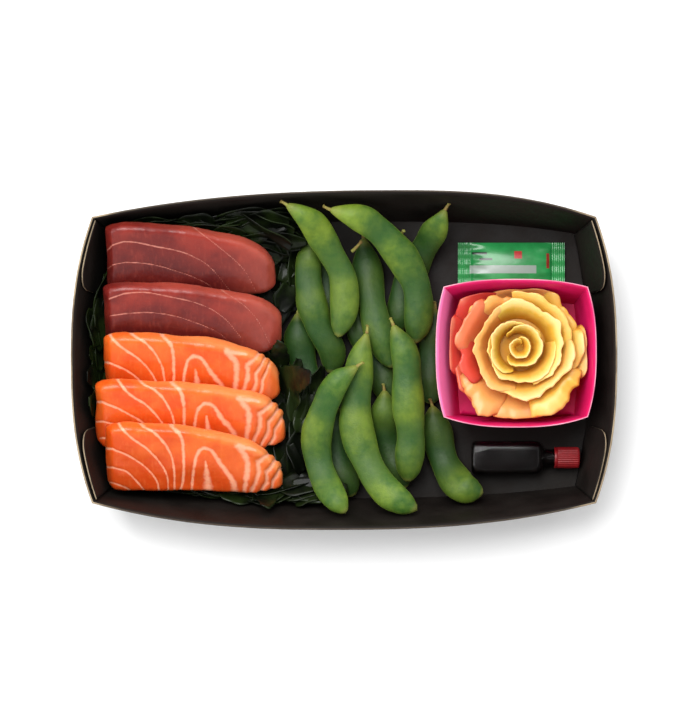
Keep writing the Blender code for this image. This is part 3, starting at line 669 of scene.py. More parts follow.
# %% Paths of the pods
# Each pod: its width, how many beans it has, and its middle line in plan from its stem to its tip.
LOW_PODS = (
    (0.0135, 2, ((-0.0105, 0.0540), (-0.0078, 0.0376), (-0.0062, 0.0150))),
    (0.0140, 2, ((0.0034, 0.0240), (0.0115, 0.0044), (0.0181, -0.0089), (0.0217, -0.0215))),
    (0.0135, 2, ((0.0405, 0.0230), (0.0387, 0.0000), (0.0383, -0.0195))),
    (0.0142, 2, ((-0.0205, 0.0210), (-0.0195, 0.0066), (-0.0173, -0.0066), (-0.0140, -0.0240))),
    (0.0145, 2, ((-0.0045, -0.0199), (-0.0030, -0.0443), (0.0040, -0.0605))),
    (0.0142, 2, ((0.0177, -0.0133), (0.0190, -0.0354), (0.0270, -0.0570))),
    (0.0138, 3, ((0.0443, 0.0660), (0.0410, 0.0590), (0.0363, 0.0510), (0.0292, 0.0376),
                 (0.0257, 0.0266), (0.0239, 0.0122))),
    (0.0148, 2, ((0.0389, -0.0199), (0.0412, -0.0332), (0.0447, -0.0456), (0.0513, -0.0553),
                 (0.0611, -0.0585))),
)
HIGH_PODS = (
    (0.0142, 2, ((0.0085, 0.0545), (0.0110, 0.0360), (0.0141, 0.0167), (0.0220, -0.0033))),
    (0.0135, 3, ((-0.0140, 0.0560), (-0.0158, 0.0352), (-0.0114, 0.0154), (-0.0053, 0.0044),
                 (-0.0057, -0.0063))),
    (0.0152, 3, ((0.0101, 0.0124), (0.0070, -0.0009), (0.0053, -0.0176), (0.0057, -0.0308),
                 (0.0105, -0.0453), (0.0189, -0.0576), (0.0320, -0.0655))),
    (0.0145, 3, ((-0.0065, 0.0655), (0.0092, 0.0606), (0.0214, 0.0502), (0.0301, 0.0371),
                 (0.0331, 0.0240), (0.0310, 0.0070))),
    (0.0132, 2, ((-0.0250, 0.0675), (-0.0138, 0.0595), (-0.0065, 0.0480), (-0.0008, 0.0371),
                 (0.0001, 0.0240), (-0.0026, 0.0099))),
    (0.0145, 3, ((0.0214, 0.0158), (0.0270, 0.0009), (0.0279, -0.0174), (0.0292, -0.0349),
                 (0.0279, -0.0540))),
    (0.0138, 3, ((0.0060, -0.0025), (-0.0044, -0.0118), (-0.0113, -0.0292), (-0.0118, -0.0414),
                 (-0.0078, -0.0541), (0.0009, -0.0668))),
)
CAD_STATIONS = 15
POD_FLATNESS = 0.66
POD_STATIONS = 72
POD_SIDES = 36
SEAM_RIDGE = 0.0003
POD_LUMPS = 0.00035


def cad_profile(width, beans, s):
    """Half the width and half the height of the CAD pod at a share of its length."""
    taper = max(0.0, 1 - abs(2 * s - 1) ** 4.2) ** 0.55
    half = width / 2 * (0.13 + 0.87 * taper) * (0.86 + 0.14 * swelling(s, beans))
    tall = width / 2 * POD_FLATNESS * (0.20 + 0.80 * taper) * (0.72 + 0.28 * swelling(s, beans))
    return half, tall


def slender(s, stem=0.30, tip=0.17, end=0.10):
    """How far a pod has filled out at a share of its length: slowly from its stem, then full."""
    lead = math.sin(math.pi / 2 * min(1.0, s / stem)) ** 0.85
    tail = math.sin(math.pi / 2 * min(1.0, (1 - s) / tip)) ** 0.75
    return end + (1 - end) * lead * tail


def swelling(s, beans):
    """One over the middle of each bean and nothing between them."""
    return 0.5 - 0.5 * math.cos(2 * math.pi * beans * (0.06 + 0.88 * s))


def headings(spine):
    """Unit vectors along a path in plan, and to the left of it."""
    heading = np.gradient(spine, axis=0)
    heading /= np.linalg.norm(heading, axis=1, keepdims=True)
    return heading, np.column_stack([-heading[:, 1], heading[:, 0]])


def pod_heights(node, path, width, beans):
    """The height of the pod's middle line along it, read from the side points of the CAD."""
    points = points_of(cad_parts[node].data.vertices)
    spine = smooth_path(path, CAD_STATIONS)
    _, side = headings(spine)
    stations = np.linspace(0, 1, CAD_STATIONS)
    heights = []
    for i, s in enumerate(stations):
        half, _ = cad_profile(width, beans, s)
        found = [points[np.argmin(np.linalg.norm(points[:, :2] - place, axis=1)), 2]
                 for place in (spine[i] + side[i] * half, spine[i] - side[i] * half)]
        heights.append(np.mean(found))
    curve = smooth_path(np.column_stack([stations, heights]), POD_STATIONS * 2)
    return np.interp(np.linspace(0, 1, POD_STATIONS), curve[:, 0], curve[:, 1])


def make_pod(number, width, beans, path, material):
    """A fine tube over the pod's middle line, with seams, a pointed tip and soft dents.

    Returns where its stem starts and which way the stem leaves.
    """
    node = f"edamame_pod_{number:02d}"
    z = pod_heights(node, path, width, beans)
    plan = smooth_path(path, POD_STATIONS)
    shares = np.linspace(0, 1, POD_STATIONS)
    heading, side = headings(plan)
    rings = []
    for i, s in enumerate(shares):
        swell = swelling(s, beans)
        closing = min(1.0, s / 0.008, (1 - s) / 0.012) ** 0.5
        half, tall = cad_profile(width, beans, s)
        half = min(half, width / 2 * slender(s) * (0.84 + 0.16 * swell)) * closing
        tall = min(tall, width / 2 * POD_FLATNESS * slender(s) ** 0.8) * closing
        ring = []
        for k in range(POD_SIDES):
            c = math.cos(2 * math.pi * k / POD_SIDES)
            h = math.sin(2 * math.pi * k / POD_SIDES)
            ridge = SEAM_RIDGE * math.exp(-((h / 0.12) ** 2)) * min(1.0, 12 * s * (1 - s))
            across = (half - ridge) * math.copysign(abs(c) ** 1.1, c) + math.copysign(ridge, c)
            ring.append((*(plan[i] + side[i] * across), z[i] + tall * h))
        rings.append(ring)
    shape = closed_tube(np.array(rings))
    shape.normal_update()
    for vert in shape.verts:
        lump = noise.noise(vert.co * 140.0 + Vector((number, 0, 0))) * POD_LUMPS
        vert.co += vert.normal * lump
    piece = add_piece(node + "_skin", shape, [material], [node], 180)
    points = points_of(piece.data.vertices)
    nearest = np.argmin(np.linalg.norm(points[:, None, :2] - plan[None], axis=2), axis=1)
    swells = np.array([swelling(s, beans) for s in shares])
    store(piece.data, "share", shares[nearest])
    store(piece.data, "bean", swells[nearest])
    store(piece.data, "seam", np.abs(points[:, 2] - z[nearest]) / (width / 2))
    return Vector((*plan[0], z[0])), Vector((*-heading[0], 0.0))


# %% Pod material
def make_pod_skin():
    """Downy green skin: yellow-green over the beans, with painted shade between them and low in
    the pile.
    """
    material, tree, shader = new_material(
        "edamame_skin", Roughness=0.52, Specular_IOR_Level=0.30, Subsurface_Weight=0.10,
        Subsurface_Radius=(0.002, 0.004, 0.001), Subsurface_Scale=0.3, Sheen_Weight=0.16,
        Sheen_Roughness=0.45, Sheen_Tint=(0.65, 0.9, 0.10, 1.0))
    broad, _ = cloudy(tree, (0.031, 0.098, 0.009), (0.145, 0.220, 0.014), 48.0, 0.12)
    mottled, _ = cloudy(tree, (0.024, 0.080, 0.014), (0.190, 0.280, 0.036), 300.0, 0.24)
    colour = mix(tree, 0.28, broad, mottled)
    bean, seam, share = stored(tree, "bean"), stored(tree, "seam"), stored(tree, "share")
    height = axis_of(tree, position(tree), "Z")
    # Painted shade in the pinches between the beans.
    colour = mix(tree, ramp(tree, bean, 0.0, 0.7, 0.60, 0.0), colour, (0.018, 0.078, 0.016))
    # Painted shade on the pods that lie low in the pile, under the others.
    colour = mix(tree, ramp(tree, height, 0.006, 0.030, 0.92, 0.0), colour, (0.008, 0.036, 0.005))
    colour = mix(tree, ramp(tree, seam, 0.03, 0.14, 0.30, 0.0), colour, (0.13, 0.19, 0.035))
    colour = mix(tree, ramp(tree, share, 0.0, 0.10, 0.60, 0.0), colour, (0.26, 0.27, 0.05))
    colour = mix(tree, ramp(tree, share, 0.96, 1.0, 0.0, 0.65), colour, (0.26, 0.25, 0.06))
    finish(tree, shader, colour, 1500.0, 0.00012)
    return material


pod_skin = make_pod_skin()
stem_starts = [make_pod(number, width, beans, path, pod_skin)
               for number, (width, beans, path) in enumerate(LOW_PODS + HIGH_PODS, 1)]
print("pods:", len(stem_starts))

# %% [markdown]
# ### Stems
#
# Each pod was pulled from its stalk and keeps a short dry stem with a knob at its end. A stem
# leaves the pod in the direction that the pod comes from and turns up a little. Three more stems,
# of pods that lie hidden, poke out behind the pile.

# %% Dry stems
# Each hidden stem: where it starts, and how far it runs along, across and up.
HIDDEN_STEMS = (
    ((0.0120, 0.0600, 0.010), (0.0028, 0.0052, 0.004)),
    ((0.0235, 0.0530, 0.012), (0.0026, 0.0044, 0.004)),
    ((0.0035, 0.0478, 0.016), (0.0048, 0.0040, 0.003)),
)


def stem_shape(start, along, number):
    """A thin bent tube with a knob at its outer end."""
    start, along = Vector(start), Vector(along)
    side = along.cross(Vector((0, 0, 1))).normalized()
    up = side.cross(along).normalized()
    rings = []
    for t in np.linspace(0, 1, 12):
        bend = side * 0.0007 * math.sin(number * 2.4) * t**2
        knob = 0.00040 * math.exp(-(((t - 0.93) / 0.09) ** 2))
        radius = (0.00080 - 0.00030 * t + knob) * (1.0 if t < 1 else 0.5)
        middle = start + along * t + bend
        rings.append([middle + (side * math.cos(a) + up * math.sin(a)) * radius
                      for a in np.linspace(0, 2 * math.pi, 12, endpoint=False)])
    return closed_tube(rings)


def make_stem_finish():
    """Dry stem: yellow-green to brown in blotches, with fine fibres."""
    return plain_material("pod_stem", (0.20, 0.12, 0.030), (0.24, 0.25, 0.045), 350.0, 0.15,
                          1800.0, 0.00010, Roughness=0.7)


stems = [stem_shape(start - back * 0.0006, back * 0.0036 + Vector((0, 0, 0.0006)), number)
         for number, (start, back) in enumerate(stem_starts)]
stems += [stem_shape(*stem, number) for number, stem in enumerate(HIDDEN_STEMS)]
add_piece("pod_stems", gather(stems), [make_stem_finish()])

# %% [markdown]
# ## Seaweed
#
# Wet wakame is a heap of slippery, ruffled leaves. The CAD holds the heap's core, so a remeshed
# copy of it fills the bottom, and many thin leaves lie over it. Each leaf is a small sheet that
# rises from its root, arches over and waves across. A leaf is kept only where it stays clear of
# the fish, the pods and the card.

# %% Leaves round the fish
LEAF_SEED = 11
LEAF_COUNT = 260
LEAF_TRIES = 34000
LEAF_THICKNESS = 0.0004
LOWEST_LEAF = 0.0018
LEAF_ROOM = 0.0004
CORE_VOXEL = 0.0008
CORE_PASSES = 3
CORE_LUMPS = 0.00030


def tree_of(nodes):
    """A search tree of the faces of some CAD nodes."""
    shape = gather([merged_copy(node) for node in nodes])
    tree = BVHTree.FromBMesh(shape)
    shape.free()
    return tree


neighbours = tree_of([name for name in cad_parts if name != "wakame_bed"])
tray_tree = tree_of(["tray"])


def is_clear(point, deepest=0.006):
    """True where a point is outside every neighbour and not too close to one."""
    nearest, normal, _, distance = neighbours.find_nearest(point, deepest)
    return nearest is None or (distance >= LEAF_ROOM and (point - nearest).dot(normal) > 0)


def is_inside(point):
    """True where the tray's walls stand round a point."""
    outward = Vector((point.x, point.y, 0)).normalized()
    return tray_tree.ray_cast(point, outward, 0.2)[0] is not None


def leaf_place(root, heading, pitch, bank, length, width, ruffle, phase):
    """Where the points of a leaf are: u across it and v from its root to its tip."""
    forward = Vector((math.cos(heading), math.sin(heading), 0.0))
    level = Vector((-math.sin(heading), math.cos(heading), 0.0))
    outer = level.dot(Vector((root[0] / 0.11, root[1] / 0.06, 0.0)))
    bank = math.copysign(bank, outer)
    upwards = Vector((0.0, 0.0, 1.0))

    def place(u, v):
        slope = pitch * (1 - 1.3 * v)
        spine = Vector(root) + forward * length * v * math.cos(pitch / 2)
        spine += upwards * length * (math.sin(pitch) * v * (1 - 0.65 * v))
        lifted = upwards * math.cos(slope) - forward * math.sin(slope)
        sideways = level * math.cos(bank) + lifted * math.sin(bank)
        facing = lifted * math.cos(bank) - level * math.sin(bank)
        lobes = 1 + 0.10 * math.sin(9 * v + phase) * abs(2 * u - 1)
        half = width / 2 * math.sin(math.pi * (0.12 + 0.80 * v)) ** 0.7 * lobes
        across = 2 * u - 1
        wave = ruffle * (across * math.sin(phase + 5 * v) + 0.6 * math.sin(2 * phase + 7 * v))
        fold = 0.10 * width * abs(across) ** 1.5
        return spine + sideways * half * across + facing * (wave + fold)

    return place


# Where leaves grow: share of the draws up to and with this zone, root ranges along X, Y and Z,
# heading and its spread, rise range, bank range towards the wall, length range, width range and
# the highest point.
LEAF_ZONES = (
    (0.16, (-0.1150, -0.1040), (-0.052, 0.045), (0.004, 0.026), 1.57, 0.5, (-0.2, 0.6),
     (0.5, 1.3), (0.016, 0.034), (0.009, 0.018), 0.0350),
    (0.32, (-0.1150, -0.1040), (-0.045, 0.052), (0.004, 0.026), -1.57, 0.5, (-0.2, 0.6),
     (0.5, 1.3), (0.016, 0.034), (0.009, 0.018), 0.0350),
    (0.44, (-0.104, -0.040), (0.0520, 0.0640), (0.008, 0.026), 0.0, 0.6, (-0.2, 0.5),
     (0.4, 1.2), (0.016, 0.030), (0.008, 0.015), 0.0320),
    (0.58, (-0.080, -0.016), (0.0440, 0.0640), (0.004, 0.022), 3.14, 1.0, (-0.3, 0.5),
     (0.2, 1.2), (0.014, 0.028), (0.008, 0.015), 0.0270),
    (0.69, (-0.034, -0.012), (-0.058, 0.045), (0.004, 0.012), 1.57, 0.7, (-0.3, 0.6),
     (0.0, 0.9), (0.012, 0.026), (0.007, 0.013), 0.0180),
    (0.80, (-0.034, -0.012), (-0.045, 0.060), (0.004, 0.012), -1.57, 0.7, (-0.3, 0.6),
     (0.0, 0.9), (0.012, 0.026), (0.007, 0.013), 0.0180),
    (0.90, (-0.104, -0.020), (-0.0650, -0.0560), (0.003, 0.012), 0.0, 0.6, (-0.2, 0.5),
     (0.3, 1.1), (0.014, 0.028), (0.007, 0.014), 0.0230),
    (1.00, (-0.090, -0.004), (-0.0650, -0.0560), (0.003, 0.012), 3.14, 0.6, (-0.2, 0.5),
     (0.3, 1.1), (0.014, 0.028), (0.007, 0.014), 0.0230),
)


def grow_leaves():
    """Tries leaves at random and keeps those that clear everything."""
    draw = random.Random(LEAF_SEED)
    leaves = []
    for _ in range(LEAF_TRIES):
        if len(leaves) == LEAF_COUNT:
            break
        share = draw.random()
        zone = next(zone for zone in LEAF_ZONES if share <= zone[0])
        _, along, across, up, turn, spread, rise, banks, lengths, widths, top = zone
        root = (draw.uniform(*along), draw.uniform(*across), draw.uniform(*up))
        place = leaf_place(root, turn + draw.uniform(-spread, spread), draw.uniform(*rise),
                           draw.uniform(*banks), draw.uniform(*lengths), draw.uniform(*widths),
                           draw.uniform(0.0002, 0.0008), draw.uniform(0, 6.28))
        probes = [place(u / 4, v / 8) for v in range(9) for u in range(5)]
        heights = [point.z for point in probes]
        if max(heights) > top or min(heights) < LOWEST_LEAF:
            continue
        if all(is_clear(point) for point in probes) and all(is_inside(point) for point in probes):
            leaves.append(patch(8, 20, place))
    return leaves


def make_seaweed():
    """Wet leaf: nearly black green with browner and greener places and a thin film of water."""
    material, tree, shader = new_material(
        "seaweed", Roughness=0.42, Coat_Weight=0.10, Coat_Roughness=0.06,
        Specular_IOR_Level=0.12)
    colour, mask = cloudy(tree, (0.0020, 0.0030, 0.0012), (0.0110, 0.0190, 0.0045), 70.0, 0.12)
    vary_roughness(tree, shader, mask, 0.46, 0.32)
    finish(tree, shader, colour, 260.0, 0.00030)
    return material


seaweed = make_seaweed()
core = remeshed("wakame_bed", CORE_VOXEL, CORE_PASSES)
core.normal_update()
for vert in core.verts:
    vert.co += vert.normal * noise.noise(vert.co * 190.0) * CORE_LUMPS
add_piece("wakame_core", core, [seaweed], ["wakame_bed"], 180)
leaf_sheets = grow_leaves()
print("seaweed leaves:", len(leaf_sheets))
wakame_leaves = add_piece("wakame_leaves", gather(leaf_sheets), [seaweed], (), 180)
thicken(wakame_leaves, LEAF_THICKNESS, 0, 0.0)

# %% [markdown]
# ## The pink card pot
#
# The pot is folded from thin card that is printed magenta. It is the tray's form again at a
# smaller size, so the same outline and ring helpers make it. Light would shine through the thin
# left wall, so its inside is painted paler towards the rim, as painted light. The cut edge is a
# pale pink.

# %% Pot and its finish
POT_CARD = 0.00045
POT_HEIGHT = 0.0317
POT_BASE = 0.0013
# The outlines of the pot's floor and rim: centre, half size and how far each side bows out.
POT_FLOOR = ((0.0769, 0.0001), (0.0256, 0.0250), (0.0012, 0.0012, 0.0012, 0.0012))
POT_RIM = ((0.0745, 0.0035), (0.0313, 0.0283), (0.0045, 0.0038, 0.0034, 0.0035))


def make_pink_card():
    """Printed card: magenta, with painted light inside the left wall, paler higher up, where light
    would shine through it.
    """
    material, tree, shader = new_material("pink_card", Roughness=0.5, Specular_IOR_Level=0.3)
    colour, _ = cloudy(tree, (0.66, 0.008, 0.11), (0.76, 0.012, 0.15), 70.0, 0.20)
    facing = add_node(tree, "ShaderNodeTexCoord").outputs["Normal"]
    # Painted light: the inside of the left wall is paler higher up, where light would shine
    # through the card.
    risen = ramp(tree, axis_of(tree, position(tree), "Z"), 0.004, 0.018, 0.2, 0.95)
    leftmost = ramp(tree, axis_of(tree, position(tree), "X"), 0.0450, 0.0500, 1.0, 0.0)
    inner = ramp(tree, axis_of(tree, facing, "X"), 0.2, 0.6)
    glow = calculate(tree, "MULTIPLY", calculate(tree, "MULTIPLY", risen, leftmost), inner)
    finish(tree, shader, mix(tree, glow, colour, (0.98, 0.22, 0.52)), 900.0, 0.00005)
    return material


pink_card = make_pink_card()
pink_edge = make_card("pink_edge", (0.80, 0.38, 0.46), (0.62, 0.12, 0.24), 0.1, 1400.0, 0.6)
pot_floor = lift(card_outline(*POT_FLOOR), POT_BASE)
pot_rim = lift(card_outline(*POT_RIM), POT_BASE + POT_HEIGHT)
pot_shape = skin(card_rings(pot_floor, pot_rim, 8))
turn_outwards(pot_shape, (POT_FLOOR[0][0], POT_FLOOR[0][1], 0.02))
pot_piece = add_piece("ginger_pot_card", pot_shape, [pink_card, pink_edge],
                      ["ginger_pot"], 25)
thicken(pot_piece, POT_CARD, 1)

# %% [markdown]
# ## The rose of ginger
#
# Thin slices of pickled ginger are rolled into each other to make a rose. Each slice is one petal
# here: a strip that runs some way round the middle, stands up from a low base and rolls outwards
# at its lip. Inner petals are narrow and yellow. Outer petals lean out until the pot's walls stop
# them, and some of them blush from peach to red, as young ginger does.

# %% Petals
ROSE_CENTRE = (0.0765, 0.0055)
ROSE_TOP = 0.0312
WALL_GAP = 0.0012
PETAL_THICKNESS = 0.00050

# Each petal: start angle and sweep in degrees, radius at its base and at its lip where it starts,
# how much both grow round it, base and lip height, roll of the lip, waves, and blush.
PETALS = (
    (60, 410, 0.0012, 0.0040, 0.0012, 0.0235, 0.0298, 0.0000, 0.0004, 0.02),
    (215, 285, 0.0050, 0.0084, 0.0016, 0.0215, 0.0302, 0.0003, 0.0010, 0.04),
    (20, 235, 0.0072, 0.0112, 0.0018, 0.0205, 0.0305, 0.0004, 0.0014, 0.00),
    (150, 220, 0.0094, 0.0142, 0.0018, 0.0200, 0.0306, 0.0006, 0.0020, 0.14),
    (290, 195, 0.0110, 0.0166, 0.0020, 0.0195, 0.0306, 0.0008, 0.0024, 0.03),
    (95, 170, 0.0126, 0.0188, 0.0018, 0.0185, 0.0304, 0.0010, 0.0028, 0.36),
    (232, 140, 0.0136, 0.0204, 0.0018, 0.0185, 0.0294, 0.0010, 0.0030, 0.22),
    (338, 120, 0.0142, 0.0226, 0.0014, 0.0175, 0.0290, 0.0014, 0.0034, 0.06),
    (62, 84, 0.0150, 0.0250, 0.0012, 0.0165, 0.0276, 0.0016, 0.0048, 0.34),
    (126, 58, 0.0150, 0.0246, 0.0012, 0.0160, 0.0270, 0.0014, 0.0034, 0.80),
    (164, 56, 0.0152, 0.0248, 0.0012, 0.0150, 0.0262, 0.0014, 0.0034, 0.94),
    (316, 62, 0.0160, 0.0256, 0.0016, 0.0155, 0.0266, 0.0018, 0.0034, 0.10),
    (4, 60, 0.0166, 0.0276, 0.0012, 0.0140, 0.0252, 0.0014, 0.0032, 0.10),
    (104, 52, 0.0180, 0.0302, 0.0006, 0.0120, 0.0226, 0.0012, 0.0030, 1.00),
    (152, 52, 0.0180, 0.0300, 0.0006, 0.0110, 0.0218, 0.0012, 0.0030, 1.00),
    (192, 42, 0.0176, 0.0294, 0.0010, 0.0110, 0.0222, 0.0012, 0.0030, 0.86),
    (50, 66, 0.0180, 0.0298, 0.0006, 0.0125, 0.0240, 0.0020, 0.0030, 0.50),
    (204, 52, 0.0168, 0.0300, 0.0014, 0.0150, 0.0256, 0.0022, 0.0058, 0.52),
    (240, 66, 0.0164, 0.0304, 0.0010, 0.0140, 0.0230, 0.0024, 0.0060, 0.42),
    (280, 60, 0.0164, 0.0284, 0.0014, 0.0170, 0.0286, 0.0030, 0.0056, 0.12),
    (334, 46, 0.0176, 0.0294, 0.0010, 0.0125, 0.0238, 0.0016, 0.0032, 0.20),
)


def eased(share, free):
    """A share that stays as it is up to a free part, and then only comes near to one."""
    if share <= free:
        return share
    return 1 - (1 - free) * math.exp((free - share) / (1 - free))


def within_pot(x, y, z, gap):
    """A place drawn back towards the pot's middle, so that it keeps a gap to the walls."""
    level = (z - POT_BASE) / POT_HEIGHT
    centre, half, bulges = (np.array(low) * (1 - level) + np.array(high) * level
                            for low, high in zip(POT_FLOOR, POT_RIM))
    offset = np.array([x, y]) - centre
    bow = 1 - np.minimum(1.0, np.abs(offset / half)) ** BOW_POWER
    across = half[0] - gap + bulges[1 if offset[0] > 0 else 3] * bow[1]
    ahead = half[1] - gap + bulges[2 if offset[1] > 0 else 0] * bow[0]
    share = max(abs(offset[0]) / across, abs(offset[1]) / ahead, 1e-6)
    return centre + offset * eased(share, 0.90) / share


def petal_sheet(index, start, sweep, base, lip, growth, low, high, roll, wave, blush):
    """A petal as a sheet: u runs round the rose and v from the base to the lip."""
    def place(u, v):
        angle = math.radians(start + sweep * u)
        edge = (2 * u - 1) ** 6
        spot = Vector((math.cos(angle) * 1.5, math.sin(angle) * 1.5, index * 3.7))
        frill = 0.30 * noise.noise(spot * 3.3) + 0.12 * noise.noise(spot * 9.0)
        ripple = wave * (noise.noise(spot) + frill) * 1.6 * v**1.4
        curl = roll * max(0.0, (v - 0.70) / 0.30) ** 2
        reach = base + (lip - base) * v**1.2 + growth * u + curl - edge * 0.0022 * v + ripple
        rise = (high - low) * v**0.85 - edge * 0.0030 * v - 0.8 * curl
        z = ROSE_TOP * eased((low + rise + ripple * 0.6) / ROSE_TOP, 0.95)
        x, y = within_pot(ROSE_CENTRE[0] + reach * math.cos(angle),
                          ROSE_CENTRE[1] + reach * math.sin(angle), z,
                          WALL_GAP + 0.0005 * (index % 4))
        return Vector((x, y, z))

    sheet = patch(max(24, round(sweep / 2.5)), 20, place)
    blush_layer = sheet.verts.layers.float.new("blush")
    rise_layer = sheet.verts.layers.float.new("rise")
    for vert in sheet.verts:
        vert[blush_layer] = blush
        vert[rise_layer] = (vert.co.z - low) / (high - low)
    return sheet


def make_ginger():
    """Translucent ginger: cream to yellow, painted shade low on each petal, a blush for each petal
    and fine fibres.
    """
    material, tree, shader = new_material(
        "ginger", Roughness=0.40, Subsurface_Weight=0.25,
        Subsurface_Radius=(0.005, 0.003, 0.001), Subsurface_Scale=0.35, Coat_Weight=0.20,
        Coat_Roughness=0.25, Specular_IOR_Level=0.35)
    cream, _ = cloudy(tree, (0.72, 0.42, 0.040), (0.80, 0.53, 0.095), 130.0, 0.2)
    blush, rise = stored(tree, "blush"), stored(tree, "rise")
    pale = mix(tree, ramp(tree, rise, 0.70, 1.0, 0.0, 0.65), cream, (0.88, 0.66, 0.27))
    # Painted shade: each petal grows darker towards its base, deep inside the rose.
    shaded = mix(tree, ramp(tree, rise, 0.20, 0.88, 0.85, 0.0), pale, (0.48, 0.20, 0.009))
    peach = mix(tree, ramp(tree, blush, 0.0, 0.5, 0.0, 0.8), shaded, (0.80, 0.34, 0.110))
    # The blush red, darker towards the petal's base with painted shade.
    flushed = mix(tree, ramp(tree, rise, 0.30, 0.95), (0.28, 0.012, 0.010), (0.66, 0.060, 0.040))
    red = mix(tree, ramp(tree, blush, 0.5, 1.0), peach, flushed)
    deep = mix(tree, ramp(tree, rise, 0.90, 1.0, 0.0, 0.30), red, (0.94, 0.56, 0.32))
    finish(tree, shader, deep, 420.0, 0.00012)
    return material


ginger = make_ginger()
petal_sheets = [petal_sheet(index, *petal) for index, petal in enumerate(PETALS)]
rose_petals = add_piece("ginger_petals", gather(petal_sheets), [ginger], (), 180)
thicken(rose_petals, PETAL_THICKNESS, 0, 0.0)

# %% The rose's solid middle
# Each ring of the middle: its radius and its height.
ROSE_BODY = ((0.0150, 0.0025), (0.0195, 0.0090), (0.0212, 0.0165), (0.0180, 0.0195),
             (0.0100, 0.0205), (0.0020, 0.0195), (0.0, 0.0190))
ROSE_SIDES = 48
ROSE_LEAN = 0.0315


def rose_middle():
    """Fills the rose under its petals, leaning from the pot's floor to the rose's centre."""
    turn = np.linspace(0, 2 * math.pi, ROSE_SIDES, endpoint=False)
    rings = []
    for radius, z in ROSE_BODY:
        lean = z / ROSE_LEAN
        x = POT_FLOOR[0][0] * (1 - lean) + ROSE_CENTRE[0] * lean
        y = POT_FLOOR[0][1] * (1 - lean) + ROSE_CENTRE[1] * lean
        rings.append(np.column_stack([x + radius * np.cos(turn), y + radius * np.sin(turn),
                                      np.full(ROSE_SIDES, z)]))
    return closed_tube(rings)


# The middle stores no rise, so it takes the ginger's painted shade in full.
add_piece("ginger_body", rose_middle(), [ginger], ["ginger_rose"], 40)

# %% [markdown]
# ## The sachet
#
# The sachet is a flat bag of printed film. Its two ends are pressed together and crimped, and the
# middle is plump. The film puckers where the plump part meets the seals.

# %% Sachet
SACHET_CENTRE = (0.0743, 0.0402)
SACHET_SIZE = (0.0474, 0.0238)
SACHET_SEAL_Z = 0.0022
SACHET_PLUMP = 0.0037
SACHET_SAG = 0.0005
SEAL_SHARE = 0.125
FILM_HALF = 0.0001


def sachet_place(u, v, side):
    """A point of the film: side is 1 on top and -1 underneath."""
    middle = np.clip((u - SEAL_SHARE) / (1 - 2 * SEAL_SHARE), 0, 1)
    swell = math.sin(math.pi * middle) ** 0.5 * (1 - abs(2 * v - 1) ** 2.6)
    pucker = 0.00030 * math.sin(v * 34) * math.exp(-((middle - 0.05) / 0.10) ** 2)
    pucker += 0.00026 * math.sin(v * 29 + 1) * math.exp(-((middle - 0.95) / 0.10) ** 2)
    crimp = 0.00013 * math.sin(u * 2 * math.pi * 52) * (1.0 if middle in (0, 1) else 0.0)
    plump = SACHET_PLUMP if side > 0 else -SACHET_SAG
    z = SACHET_SEAL_Z + side * FILM_HALF + plump * swell + (pucker if side > 0 else 0.0) + crimp
    return Vector((SACHET_CENTRE[0] + SACHET_SIZE[0] * (u - 0.5),
                   SACHET_CENTRE[1] + SACHET_SIZE[1] * (v - 0.5), z))


def box_mask(tree, u, v, centre, half, soft=0.004):
    """One inside a box of the film's UV square and nothing outside it."""
    masks = []
    for value, middle, reach in ((u, centre[0], half[0]), (v, centre[1], half[1])):
        away = calculate(tree, "ABSOLUTE", calculate(tree, "SUBTRACT", value, middle))
        masks.append(ramp(tree, away, reach - soft, reach + soft, 1.0, 0.0))
    return calculate(tree, "MULTIPLY", *masks)


# Plain printed shapes: centre and half size on the film, and the colour.
FILM_MARKS = (
    ((0.56, 0.77), (0.036, 0.070), (0.42, 0.020, 0.020)),
    ((0.20, 0.80), (0.070, 0.022), (0.006, 0.022, 0.010)),
    ((0.26, 0.69), (0.060, 0.020), (0.006, 0.022, 0.010)),
    ((0.42, 0.50), (0.310, 0.075), (0.27, 0.34, 0.29)),
    ((0.84, 0.66), (0.014, 0.140), (0.30, 0.030, 0.020)),
)


def make_film():
    """Glossy green film with plain printed marks."""
    material, tree, shader = new_material(
        "green_film", Roughness=0.34, Coat_Weight=0.30, Coat_Roughness=0.15)
    colour, _ = cloudy(tree, (0.012, 0.200, 0.045), (0.024, 0.300, 0.075), 90.0, 0.2)
    square = add_node(tree, "ShaderNodeUVMap", uv_map="UVMap").outputs["UV"]
    u, v = axis_of(tree, square, "X"), axis_of(tree, square, "Y")
    for centre, half, ink in FILM_MARKS:
        colour = mix(tree, box_mask(tree, u, v, centre, half), colour, ink)
    finish(tree, shader, colour, 300.0, 0.00012)
    return material


green_film = make_film()
film_top = patch(150, 60, lambda u, v: sachet_place(u, v, 1))
film_under = patch(150, 60, lambda u, v: sachet_place(u, v, -1))
turn_outwards(film_top, (SACHET_CENTRE[0], SACHET_CENTRE[1], -1.0))
turn_outwards(film_under, (SACHET_CENTRE[0], SACHET_CENTRE[1], 1.0))
add_piece("sachet_film", gather([film_top, film_under]), [green_film],
          ["condiment_sachet"], 60)

# %% [markdown]
# ## The soy bottle
#
# A small bottle of clear soft plastic lies on its side. It is boxy with round edges, has a short
# neck and a ribbed red cap. The sauce inside is so dark that the bottle looks black, and only the
# highlights on the plastic show its form.

# %% Bottle, sauce and cap
BOTTLE_BASE_X = 0.0563
BOTTLE_AXIS_Y = -0.0432
BOTTLE_AXIS_Z = 0.0069
BOTTLE_HALF = (0.0074, 0.0055)
BOTTLE_BODY = 0.0314
NECK_RADIUS = 0.00375
CAP_START = 0.0367
CAP_END = 0.0477
CAP_RADIUS = 0.0047
CAP_RIBS = 30
BOTTLE_SIDES = 56
SAUCE_INSET = 0.0004
RIB_DEPTH = 0.00028


